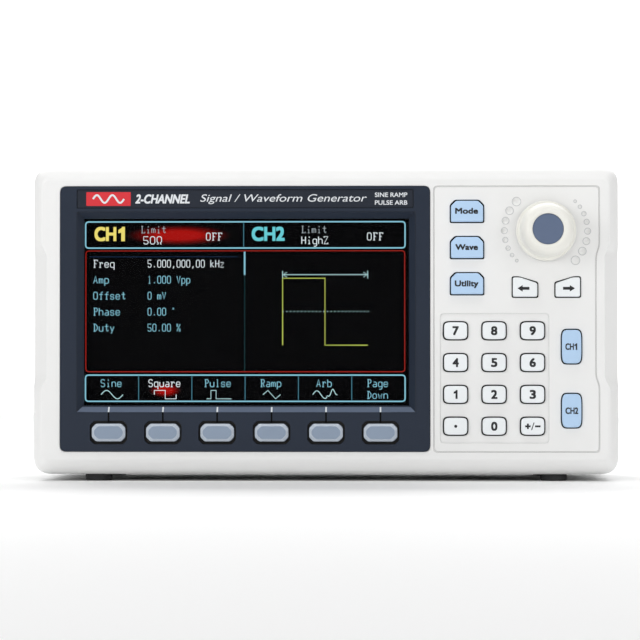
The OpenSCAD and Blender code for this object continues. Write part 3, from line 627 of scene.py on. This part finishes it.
def seal(node, outline, centre, half):
    """The dark gap round a key, as painted shade: a near-black sheet that fills it, just below the face."""
    inner = outline(half[0] + CAP_CLEARANCE, half[1] + CAP_CLEARANCE)
    outer = outline(half[0] + KEY_GAP - HOLE_CLEARANCE, half[1] + KEY_GAP - HOLE_CLEARANCE)
    rings = [(inner, GAP_SHADE_TOP), (inner, GAP_SHADE_FOOT), (outer, GAP_SHADE_FOOT), (outer, GAP_SHADE_TOP)]
    loft("gap_shade_" + node, centre, rings, GAP_SHADE_LOOK, HOUSING, closed=False)


def figure_one(height, stem):
    """The outline of a 1 with its flag, as wide as its strokes allow, centred."""
    h, half, flag = height / 2, stem / 2, 0.3 * height
    shift = flag / 2 - half / 2
    points = [(-half, -h), (half, -h), (half, h), (-half * 0.4, h), (-half, h - 0.1 * height),
              (-flag - half * 0.2, h - 0.22 * height), (-flag - half * 0.2, h - 0.22 * height - stem * 0.9),
              (-half, h - 0.14 * height - stem)]
    return [(x + shift, z) for x, z in points]


def legend(node, text, height, width, weight, shift=(0, 0)):
    """The printed name of a key, which moves with the key."""
    centre, _ = face_box(node)
    at = (centre[0] + shift[0], centre[1] + shift[1])
    lettering("legend_" + node, text, at, height, LEGEND, node, KEY_TOP - PRINT_SUNK, width,
              weight, thick=PRINT_THICK)


def mark(node, outline, shift=(0, 0), end=""):
    """A printed shape on a key."""
    centre, _ = face_box(node)
    at = (centre[0] + shift[0], centre[1] + shift[1])
    low = KEY_TOP - PRINT_SUNK
    rings = [(outline, low), (outline, low + PRINT_THICK)]
    loft("legend_" + node + end, at, rings, LEGEND, node)


def face_key(node, outline, look, crown):
    """A key in a hole of the front bezel, with painted shade filling the gap round it."""
    centre, half = key_piece(node, outline, look, KEY_TOP, crown=crown)
    seal(node, outline, centre, half)


def menu_keys():
    words = {"key_mode": ("Mode", 1.75, 6.75, 0), "key_wave": ("Wave", 1.75, 6.65, 0),
             "key_utility": ("Utility", 2.3, 7.0, -0.3)}
    for node, (word, height, width, drop) in words.items():
        face_key(node, menu_outline, BLUE_KEY, 0.05)
        legend(node, word, height, width, 0.18, (-0.15, 0.1 + drop))


def channel_keys():
    face_key("key_ch1", barrel, BLUE_KEY, 0.08)
    legend("key_ch1", "CH", 1.95, 2.5, 0.14, (-0.62, 0))
    mark("key_ch1", figure_one(1.95, 0.42), (1.2, 0), "_figure")
    face_key("key_ch2", barrel, BLUE_KEY, 0.08)
    legend("key_ch2", "CH2", 1.95, 3.75, 0.14)


def number_keys():
    for digit in range(10):
        node = "key_%d" % digit
        face_key(node, barrel, FROSTED, 0.1)
        if digit == 1:
            mark(node, figure_one(2.6, 0.6))
        else:
            legend(node, str(digit), 2.65, 1.85, 0.24)
    face_key("key_point", barrel, FROSTED, 0.1)
    mark("key_point", circle(0.45, 24))
    face_key("key_sign", barrel, FROSTED, 0.1)
    bar, arm = 0.26, 0.8
    plus = [(-arm, -bar), (-bar, -bar), (-bar, -arm), (bar, -arm), (bar, -bar), (arm, -bar), (arm, bar),
            (bar, bar), (bar, arm), (-bar, arm), (-bar, bar), (-arm, bar)]
    mark("key_sign", plus, (-1.45, 0), "_plus")
    mark("key_sign", [(-0.5, -1.1), (-0.22, -1.1), (0.5, 1.1), (0.22, 1.1)], (0, 0), "_slash")
    mark("key_sign", [(-0.8, -bar), (0.8, -bar), (0.8, bar), (-0.8, bar)], (1.45, 0), "_minus")


def arrow_keys():
    shaft, head, reach, neck = 0.42, 0.95, 1.75, -0.25
    left = [(-reach, 0), (neck, -head), (neck, -shaft), (reach, -shaft), (reach, shaft), (neck, shaft),
            (neck, head)]
    right = [(-x, z) for x, z in reversed(left)]
    face_key("key_arrow_left", arrow_outline, FROSTED, 0.05)
    mark("key_arrow_left", left, (-0.5, -0.4))
    face_key("key_arrow_right", lambda a, b: arrow_outline(a, b, -1), FROSTED, 0.05)
    mark("key_arrow_right", right, (0.3, -0.4))


def soft_keys():
    for i in range(6):
        node = "softkey_%d" % (i + 1)
        key_piece(node, soft_outline, GREY_KEY, SOFT_TOP, edge=0.7, crown=0.04, steps=1)


def rotary_knob():
    """The knob: a flat skirt, a straight-sided body and a broad round shoulder."""
    centre, half = face_box("knob")
    skirt = half[0]
    base = -(knob_high.y - FACE_Y) / MM
    top = -(knob_low.y - FACE_Y) / MM
    cap_radius = face_box("knob_cap")[1][0]
    profile = [(4.6, base), (skirt - 0.3, base)]
    profile += arc((skirt - 0.3, base + 0.3), (0.3, 0.3), -90, 0, 4)
    profile += arc((skirt - 0.3, base + 0.8), (0.3, 0.3), 0, 90, 4)
    profile += arc((skirt - 0.55, base + 1.5), (0.4, 0.4), -90, -170, 5)
    profile += [(skirt - 1.05, base + 4)]
    profile += arc((cap_radius + 0.75, top - 3.6), (skirt - 1.1 - cap_radius - 0.75, 3.6), 0, 90, 16)
    profile += [(cap_radius + 0.2, top), (cap_radius + 0.08, top - 0.06), (cap_radius + 0.05, top - 0.9)]
    piece = lathe("knob_body", centre, profile, IVORY, "knob")
    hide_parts("knob")
    cap = [(cap_radius - 0.12, top - 0.95)]
    cap += arc((cap_radius - 0.14, top - 0.3), (0.14, 0.14), 0, 90, 4)
    cap += [(cap_radius * share, top - 0.16 + 0.1 * (1 - share ** 2)) for share in (0.85, 0.6, 0.3, 0.1)]
    disc = lathe("knob_disc", centre, cap, SLATE, "knob")
    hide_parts("knob_cap")


menu_keys()
channel_keys()
number_keys()
arrow_keys()
soft_keys()
rotary_knob()

# ---------------------------------------------------------------- the picture on the display
STROKE_W = 0.168
CAP_ROWS = 6
LINE = 0.125

# Letters as strokes: each pair is across 0 to 4 and up 0 to 8, with the baseline at 2.
STROKES = {
    "A": "02 28 42/14 34", "D": "08 28 46 44 22 02/18 12", "F": "47 48 08/18 12/02 22/15 35",
    "H": "08 02/48 42/05 45", "L": "08 28/18 12/02 42 43", "O": "18 38 47 43 32 12 03 07 18",
    "P": "08 38 47 46 35 15/18 12/02 22", "R": "08 38 47 46 35 15/18 12/02 22/25 42",
    "S": "47 38 18 07 06 15 35 44 43 32 12 03", "V": "08 22 48", "Z": "07 08 48 02 42 43",
    "a": "16 36 45 42/44 14 03 12 32 43", "b": "08 02 32 43 45 36 06", "e": "04 44 45 36 16 05 03 12 32 43",
    "f": "48 38 27 22/06 46/12 32", "g": "45 36 16 05 03 12 42/46 41 30 10", "h": "08 02/05 16 36 45 42",
    "i": "15 25 22/12 32/27 28", "k": "08 02/36 04/14 42", "l": "18 28 22/12 32",
    "m": "02 06/05 16 25 22/25 36 45 42", "n": "02 06/05 16 36 45 42", "o": "16 36 45 43 32 12 03 05 16",
    "p": "06 00/06 36 45 43 32 02", "q": "46 40/46 16 05 03 12 42", "r": "06 16 12/02 22/14 26 36 45",
    "s": "45 36 16 05 14 34 43 32 12 03", "t": "28 23 32 43/06 46", "u": "06 03 12 32 43/46 42",
    "w": "06 12 25 32 46", "y": "06 22/46 10", "z": "06 46 02 42", "0": "18 38 47 43 32 12 03 07 18",
    "1": "17 28 22/12 32", "5": "48 08 05 35 44 43 32 12 03", ".": "22 23", ",": "23 22 11",
    "°": "18 28 27 17 18", "%": "02 48/08 18 16 06 08/34 44 42 32 34",
    "Ω": "02 12 13 04 07 18 38 47 44 33 32 42",
}


def written(text, x, z, pitch=1.43, height=2.15):
    """The strokes of a line of text; x is its left edge and z its middle, from the screen's centre."""
    lines = []
    for place, letter in enumerate(text):
        for stroke in STROKES.get(letter, "").split("/"):
            if stroke:
                lines.append([(x + (place + int(p[0]) * STROKE_W) * pitch,
                               z + (int(p[1]) - 5) / CAP_ROWS * height) for p in stroke.split()])
    return lines


def frame_line(x0, z0, x1, z1, radius=1.0):
    return rectangle(x0, z0, x1, z1, radius, 5)


def header():
    """The two channel headers along the top of the picture."""
    tubes("lit_header_frame", [frame_line(PICTURE_LEFT, 19.1, PICTURE_RIGHT, 26.9)], 0.24, CYAN,
          PICTURE_W - 0.12, closed=True)
    tubes("lit_header_divider", [[(-0.9, 19.1), (-0.9, 26.9)]], 0.13, TEAL_WALL, PICTURE_W - 0.02)
    glow_patch("lit_header_glow", (-20.3, 22.9), (16.2, 3.2))
    middle = SCREEN[1] + 23.3
    lettering("lit_channel_one", "CH", (SCREEN[0] - 42.1, middle), 4.3, YELLOW, HOUSING, PICTURE_W,
              6.5, 0.4, thick=0.05)
    one = figure_one(4.3, 1.1)
    rings = [(one, PICTURE_W - 0.05), (one, PICTURE_W + 0.05)]
    loft("lit_channel_one_figure", (SCREEN[0] - 37.2, middle), rings, YELLOW, HOUSING)
    lettering("lit_channel_two", "CH2", (SCREEN[0] + 6.4, middle), 4.3, AQUA, HOUSING, PICTURE_W,
              9.8, 0.4, thick=0.05)
    for side, x in (("left", -31.4), ("right", 16.4)):
        tubes("lit_limit_" + side, written("Limit", x, 24.6, 1.55, 2.0), LINE, GREY_TEXT, PICTURE_W)
    white = written("50Ω", -30.7, 21.4, 2.0, 2.2) + written("OFF", -12.0, 22.5, 1.72)
    white += written("HighZ", 16.4, 21.4, 1.66) + written("OFF", 35.9, 22.5, 1.72)
    tubes("lit_header_words", white, 0.14, PALE, PICTURE_W)


def settings():
    """The framed list of settings of the channel that is shown."""
    outline = frame_line(PICTURE_LEFT + 0.1, -17.7, PICTURE_RIGHT - 0.1, 18.25)
    tubes("lit_red_frame", [outline], 0.15, RED_LINE, PICTURE_W - 0.02, closed=True)
    rows = (("Freq", "5.000,000,00 kHz"), ("Amp", "1.000 Vpp"), ("Offset", "0 mV"), ("Phase", "0.00 °"),
            ("Duty", "50.00 %"))
    first, pitch = 14.45, 4.76
    for i, (name, value) in enumerate(rows):
        z = first - pitch * i
        lines = written(name, -45.6, z, 1.66) + written(value, -29.4, z, 1.44)
        tubes("lit_setting_%d" % (i + 1), lines, LINE, PALE if i == 0 else CYAN, PICTURE_W)
    tubes("lit_chosen_line", [[(-46.8, 16.5), (-2.6, 16.5)]], 0.13, BLUE_LINE, PICTURE_W - 0.02)
    tubes("lit_scroll_bar", [[(-0.6, 11.1), (-0.6, 18)]], 0.32, CYAN, PICTURE_W - 0.12)
    tubes("lit_scroll_track", [[(-0.6, -17.5), (-0.6, 10.8)]], 0.13, TEAL_LINE, PICTURE_W - 0.02)


def waveform():
    """One period of the square wave, its width mark and its zero line."""
    left, middle, right, top, bottom = 10.7, 23.3, 36, 10.1, -9.8
    wave = [(left, bottom), (left, top), (middle, top), (middle, bottom), (right, bottom)]
    tubes("lit_square_wave", [wave], 0.16, GREEN_LINE, PICTURE_W - 0.02)
    line = 11.15
    width_mark = [[(left, line), (right, line)]]
    for x, side in ((left, 1), (right, -1)):
        width_mark.append([(x, line - 1.15), (x, line + 1.15)])
        barb, tip = x + 1.3 * side, x + 0.3 * side
        width_mark.append([(barb, line + 0.8), (tip, line), (barb, line - 0.8)])
    tubes("lit_width_mark", width_mark, 0.13, PALE_CYAN, PICTURE_W - 0.02)
    dots = [[(left + 1.1 * i, 0.2), (left + 1.1 * i + 0.3, 0.2)] for i in range(24)]
    tubes("lit_zero_line", dots, 0.17, PALE_CYAN, PICTURE_W)


def wave_symbol(kind, x, z, w=6.5, h=1.25):
    """The small waveform under each word of the menu."""
    if kind == "sine":
        return [(x + w * (t / 24 - 0.5), z + h * math.sin(math.tau * t / 24)) for t in range(25)]
    if kind == "arb":
        return [(x + w * (t / 48 - 0.5), z + 0.9 * h * (math.sin(math.tau * 1.5 * t / 48)
                 + (0 if t < 28 else 0.45 * math.sin(math.tau * 4 * t / 48)))) for t in range(49)]
    shapes = {
        "square": [(-0.5, 0), (-0.5, 1), (0, 1), (0, -1), (0.5, -1), (0.5, 0)],
        "pulse": [(-0.5, -1), (-0.32, -1), (-0.32, 1), (-0.1, 1), (-0.1, -1), (0.55, -1)],
        "ramp": [(-0.5, 0), (-0.22, 1), (0.22, -1), (0.5, 0)],
    }
    return [(x + w * px, z + h * pz) for px, pz in shapes[kind]]


def menu():
    """The row of six choices above the soft keys."""
    left, right, low, high, cells = PICTURE_LEFT, PICTURE_RIGHT, -26.5, -18.7, 6
    cell = (right - left) / cells
    tubes("lit_menu_frame", [frame_line(left, low, right, high)], 0.24, CYAN, PICTURE_W - 0.12, closed=True)
    walls = [[(left + cell * i, low), (left + cell * i, high)] for i in range(1, cells)]
    tubes("lit_menu_walls", walls, 0.13, TEAL_WALL, PICTURE_W - 0.02)
    glow_patch("lit_menu_glow", (left + 1.5 * cell, -23.2), (5.0, 2.3))
    words, signs = [], []
    for i, (word, kind) in enumerate((("Sine", "sine"), ("Square", "square"), ("Pulse", "pulse"),
                                      ("Ramp", "ramp"), ("Arb", "arb"))):
        middle = left + (i + 0.5) * cell
        text = written(word, middle - len(word) * 0.8 - 0.1, -21.1, 1.64)
        sign = wave_symbol(kind, middle, -24.5, {"ramp": 5.2, "arb": 7.3, "pulse": 7}.get(kind, 6.5))
        if kind == "square":
            tubes("lit_menu_chosen", text + [sign], 0.14, PALE, PICTURE_W)
        else:
            words += text
            signs.append(sign)
    middle = left + 5.5 * cell
    words += written("Page", middle - 3.3, -21.1, 1.64) + written("Down", middle - 3.3, -24.6, 1.64)
    tubes("lit_menu_words", words, LINE, CYAN, PICTURE_W)
    tubes("lit_menu_signs", signs, 0.14, PALE_CYAN, PICTURE_W)


def glow_patch(name, at, half):
    """A red glow on the display that fades to nothing at the edge of an oval."""
    oval = [(half[0] * x, half[1] * z) for x, z in circle(1, 64)]
    n = Nodes(name)
    coordinate = n.add("ShaderNodeTexCoord").outputs["Generated"]
    centred = n.add("ShaderNodeMapping")
    centred.inputs["Location"].default_value = (-1, 0, -1)
    centred.inputs["Scale"].default_value = (2, 0, 2)
    n.link(coordinate, centred.inputs["Vector"])
    ball = n.add("ShaderNodeTexGradient", gradient_type="SPHERICAL")
    n.link(centred.outputs["Vector"], ball.inputs["Vector"])
    near = n.ramp(ball.outputs["Fac"], 0, 0.6, 0, 1)
    fade = n.math("MULTIPLY", near, near)
    n.link(n.mix(fade, (0, 0, 0, 1), linear(168, 15, 10)), n.shader.inputs["Emission Color"])
    n.link(n.mix(fade, linear(2, 2, 3), linear(12, 2, 2)), n.shader.inputs["Base Color"])
    n.set(Emission_Strength=1.0, Roughness=0.6, Specular_IOR_Level=0.03)
    centre = (SCREEN[0] + at[0], SCREEN[1] + at[1])
    loft(name, centre, [(oval, PICTURE_W - 0.05), (oval, PICTURE_W + 0.015)], n, HOUSING)


header()
settings()
waveform()
menu()

# ---------------------------------------------------------------- print on the front
strip_centre, strip_half = face_box("name_plate")
STRIP_W = -(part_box("name_plate")[0].y - FACE_Y) / MM
# The dimples shrink and draw closer along each arc: lengths in mm, and angles in degrees.
DOT_COUNT = 8
DOT_STARTS = (("left", 135), ("right", -45))
DOT_RING = 12.3
DOT_RADIUS = 1.1
DOT_SHRINK = 0.105
DOT_TURN = 16.8
DOT_CLOSER = 0.97
# A rim's radius as a share of its dimple's, half the width of its line, and its foot and top.
DOT_RIM = 1.166
RIM_HALF = 0.11
RIM_FOOT = -0.1
RIM_TOP = 0.012
# The bevel under the display, as (w, z) at its top edge and at its foot.
PICTURE_HEIGHT = 53.86
WINDOW_MARGIN = 0.8
WINDOW_EDGE = SCREEN[1] - (PICTURE_HEIGHT / 2 + WINDOW_MARGIN)
BEVEL_TOP = (0.3, WINDOW_EDGE - 1.95)
BEVEL_FOOT = (-1.8, WINDOW_EDGE)
TICK_HALF = 0.24


def name_strip():
    """A red plate with a wave on it, and what the instrument is."""
    left, middle = strip_centre[0] - strip_half[0], strip_centre[1]
    plate_half = (6.6, 2.05)
    plate_at = (left + 9.2, middle)
    outline = rectangle(-plate_half[0], -plate_half[1], plate_half[0], plate_half[1], 0.25)
    rings = [(outline, STRIP_W - 0.05), (outline, STRIP_W + 0.06)]
    loft("badge", plate_at, rings, BADGE, HOUSING)
    wave, steps = [], 40
    for i in range(steps + 1):
        wave.append((-4.6 + 9.2 * i / steps, 1.15 * math.sin(2 * math.tau * i / steps)))
    ribbon("badge_wave", plate_at, wave, 0.28, PRINT, STRIP_W + 0.05)
    lettering("strip_channels", "2-CHANNEL", (left + 17.2, middle), 2.75, PRINT, HOUSING, STRIP_W,
              16.2, 0.2, 0.25, align="LEFT")
    lettering("strip_words", "Signal / Waveform Generator", (left + 36.4, middle - 0.1), 2.9, PRINT, HOUSING,
              STRIP_W, 49.4, 0, 0.25, align="LEFT")
    for i, words in enumerate(("SINE RAMP", "PULSE ARB")):
        lettering("strip_list_%d" % (i + 1), words, (left + 88.2, middle + 1.15 - 2.3 * i), 1.35, PRINT,
                  HOUSING, STRIP_W, 9.6, 0.06, align="LEFT")


def ribbon(name, at, line, half_width, look, w):
    """A flat raised band along a line on the face."""
    left, right = [], []
    for i, p in enumerate(line):
        before, after = Vector(line[max(i - 1, 0)]), Vector(line[min(i + 1, len(line) - 1)])
        along = (after - before).normalized()
        across = Vector((-along.y, along.x)) * half_width
        left.append((p[0] + across.x, p[1] + across.y))
        right.append((p[0] - across.x, p[1] - across.y))
    count = len(line)
    points = [on_face(at[0] + x, at[1] + z, w + rise) for rise in (0, 0.03) for x, z in right + left]
    faces = []
    for i in range(count - 1):
        lower = (i, i + 1, count + i + 1, count + i)
        faces.append(tuple(reversed(lower)))
        faces.append(tuple(2 * count + v for v in lower))
        faces.append((i, i + 1, 2 * count + i + 1, 2 * count + i))
        faces.append((count + i + 1, count + i, 3 * count + i, 3 * count + i + 1))
    faces.append((0, 2 * count, 3 * count, count))
    faces.append((count - 1, 2 * count - 1, 4 * count - 1, 3 * count - 1))
    return add_mesh(name, points, faces, look, HOUSING)


def tick_marks():
    """A white printed mark on the sloping sill above each soft key, and a black strip of painted shade in the
    groove below it.
    """
    slope = (BEVEL_TOP[0] - BEVEL_FOOT[0]) / (BEVEL_TOP[1] - BEVEL_FOOT[1])
    for i in range(6):
        centre, half_key = face_box("softkey_%d" % (i + 1))
        half, low, high = TICK_HALF, BEVEL_TOP[1] + 0.05, SILL[1]
        corners = [(-half, low), (half, low), (half, high), (-half, high)]
        points = [on_face(centre[0] + x, z, BEVEL_TOP[0] + slope * (z - BEVEL_TOP[1]) + rise)
                  for rise in (-0.05, 0.05) for x, z in corners]
        faces = [(3, 2, 1, 0), (4, 5, 6, 7), (0, 1, 5, 4), (1, 2, 6, 5), (2, 3, 7, 6), (3, 0, 4, 7)]
        add_mesh("tick_%d" % (i + 1), points, faces, PRINT, HOUSING)
        foot = centre[1] + half_key[1] - FLANGE + 0.3
        # Painted shade: a black strip fills the groove below each mark.
        groove_shade_outline = [(-half, foot), (half, foot), (half, BEVEL_TOP[1]), (-half, BEVEL_TOP[1])]
        rings = [(groove_shade_outline, -0.3), (groove_shade_outline, BEVEL_TOP[0] + 0.01)]
        loft("groove_shade_%d" % (i + 1), (centre[0], 0), rings, GAP_SHADE_LOOK, HOUSING)


def dot_rims():
    """A faint grey line of painted shade round the edge of each dimple of the two arcs beside the knob."""
    knob_centre = face_box("knob")[0]
    turned = 0
    for i in range(DOT_COUNT):
        rim = DOT_RIM * (DOT_RADIUS - DOT_SHRINK * i)
        outer, inner = circle(rim + RIM_HALF), circle(rim - RIM_HALF)
        rings = [(outer, RIM_FOOT), (outer, RIM_TOP), (inner, RIM_TOP), (inner, RIM_FOOT)]
        for side, start in DOT_STARTS:
            a = math.radians(start + turned)
            at = (knob_centre[0] + DOT_RING * math.cos(a), knob_centre[1] + DOT_RING * math.sin(a))
            loft("dot_rim_%s_%d" % (side, i + 1), at, rings, DIMPLE_EDGE_SHADE, HOUSING, closed=False)
        turned += DOT_TURN - DOT_CLOSER * (i + 1)


name_strip()
tick_marks()
dot_rims()

# ---------------------------------------------------------------- print on the back
# The jacks' height, half the height of the bay round them, and how far above it the names run.
JACK_Z = (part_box("bnc_jack_ch1")[0].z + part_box("bnc_jack_ch1")[1].z) / 2
BAY_HALF = 11.8
NAMES_ABOVE = 2.2
# The rocker: how deep its pivot is, its tilt at rest, and the waist and slope of its two faces.
ROCKER_PIVOT = 2.6
ROCKER_REST = math.radians(9)
ROCKER_WAIST = 3.7
ROCKER_SLOPE = 0.125


def rear_print():
    """Plain names above the connector bay."""
    words = {"bnc_jack_ch1": "CH1", "bnc_jack_ch2": "CH2", "bnc_jack_ext": "EXT", "usb_socket": "USB",
             "dc_jack": "DC IN", "power_switch_frame": "POWER"}
    line = (JACK_Z - CENTRE_Z) / MM + BAY_HALF + NAMES_ABOVE
    for node, word in words.items():
        centre, _ = face_box(node)
        lettering("rear_" + node, word, (-centre[0], line), 2.1, PRINT_GREY, HOUSING, -0.01,
                  None, 0.2, put=on_back)


def on_rocker(x, z, w):
    """A point on the rocker's two sloping faces, which rest tilted about its pivot."""
    low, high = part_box("power_rocker")
    y = ROCKER_WAIST + ROCKER_SLOPE * abs(z) + w
    pivot = Vector(((low.x + high.x) / 2, BACK_Y - ROCKER_PIVOT * MM, JACK_Z))
    return pivot + Matrix.Rotation(-ROCKER_REST, 3, "X") @ Vector((-x * MM, y * MM, z * MM))


def rocker_marks():
    """A ring on one half of the power rocker and a bar on the other."""
    outer, inner = circle(1.35), circle(0.95)
    sunk, proud = -0.06, 0.04
    ring = [(outer, sunk), (outer, proud), (inner, proud), (inner, sunk)]
    loft("rocker_ring", (0, 3.7), ring, PRINT, "power_rocker", closed=False, put=on_rocker)
    bar = rectangle(-0.22, -1.35, 0.22, 1.35, 0.1)
    loft("rocker_bar", (0, -3.7), [(bar, sunk), (bar, proud)], PRINT, "power_rocker", put=on_rocker)


rear_print()
rocker_marks()

# ---------------------------------------------------------------- floor, lights and camera
FLOOR_SIZE = 6.0
BACKDROP_SIZE = (1.4, 0.9)
BACKDROP_Y = 1.5
# The camera: how far in front of the face it is, its lens in mm, and where it stands and aims.
VIEW_DISTANCE = 0.9
LENS = 171.2
CAMERA_X = 0.020
CAMERA_Z = 0.032
AIM_X = -0.00148
# Each lamp's place and size in metres and its power in watts; all of them aim at LAMP_AIM.
LAMP_AIM = (0, 0, 0.045)
LAMPS = {
    "rear_light": ((0.0, 0.7, 0.85), (1.6, 0.5), 9.5),
    "left_light": ((-0.85, -0.95, 0.32), (0.5, 0.5), 3.9),
    "right_light": ((0.85, -0.95, 0.32), (0.5, 0.5), 2.2),
    "edge_light": ((0.0, -0.12, 0.36), (0.5, 0.06), 0.4),
}
SURROUNDINGS = 0.45


def floor():
    """A plain pale floor."""
    n = Nodes("floor_white")
    shade = n.mix(n.noise(3, 2), linear(246, 246, 246), linear(252, 252, 252))
    n.link(shade, n.shader.inputs["Base Color"])
    n.set(Roughness=0.7)
    mesh = bpy.data.meshes.new("floor")
    half = FLOOR_SIZE / 2
    corners = [(-half, -half, 0), (half, -half, 0), (half, half, 0), (-half, half, 0)]
    mesh.from_pydata(corners, [], [(0, 1, 2, 3)])
    piece = bpy.data.objects.new("floor", mesh)
    bpy.context.scene.collection.objects.link(piece)
    mesh.materials.append(n.material)


def area_light(name, place, size, power):
    light = bpy.data.lights.new(name, "AREA")
    light.shape = "RECTANGLE"
    light.size, light.size_y = size
    light.energy = power
    lamp = bpy.data.objects.new(name, light)
    bpy.context.scene.collection.objects.link(lamp)
    lamp.location = place
    lamp.rotation_euler = (Vector(LAMP_AIM) - Vector(place)).to_track_quat("-Z", "Y").to_euler()


def studio():
    """Even pale surroundings, a soft box above and behind, two in front and a narrow one over the face."""
    world = bpy.data.worlds.new("studio")
    bpy.context.scene.world = world
    world.use_nodes = True
    background = world.node_tree.nodes["Background"]
    background.inputs["Color"].default_value = (1, 1, 1, 1)
    background.inputs["Strength"].default_value = SURROUNDINGS
    for name, (place, size, power) in LAMPS.items():
        area_light(name, place, size, power)
    bpy.context.scene.view_settings.view_transform = "Standard"


def backdrop():
    """A small white screen behind the object, as wide as the camera sees."""
    n = Nodes("backdrop_white")
    n.link(n.mix(n.noise(2, 1), (0.99, 0.99, 0.99, 1), (1, 1, 1, 1)), n.shader.inputs["Emission Color"])
    n.set(Emission_Strength=1.0, Roughness=0.9)
    half, high, y = BACKDROP_SIZE[0] / 2, BACKDROP_SIZE[1], BACKDROP_Y
    mesh = bpy.data.meshes.new("backdrop")
    mesh.from_pydata([(-half, y, 0), (half, y, 0), (half, y, high), (-half, y, high)], [], [(0, 1, 2, 3)])
    screen = bpy.data.objects.new("backdrop", mesh)
    bpy.context.scene.collection.objects.link(screen)
    mesh.materials.append(n.material)


def camera():
    """A long lens a little to the right of the face's centre and below it."""
    data = bpy.data.cameras.new("camera")
    data.lens = LENS
    data.sensor_width = 36
    data.clip_start = 0.01
    data.clip_end = 20
    eye = bpy.data.objects.new("camera", data)
    bpy.context.scene.collection.objects.link(eye)
    eye.location = (CAMERA_X, FACE_Y - VIEW_DISTANCE, CAMERA_Z)
    aim = Vector((AIM_X, FACE_Y, CENTRE_Z))
    eye.rotation_euler = (aim - eye.location).to_track_quat("-Z", "Y").to_euler()
    bpy.context.scene.camera = eye


camera()
floor()
backdrop()
studio()
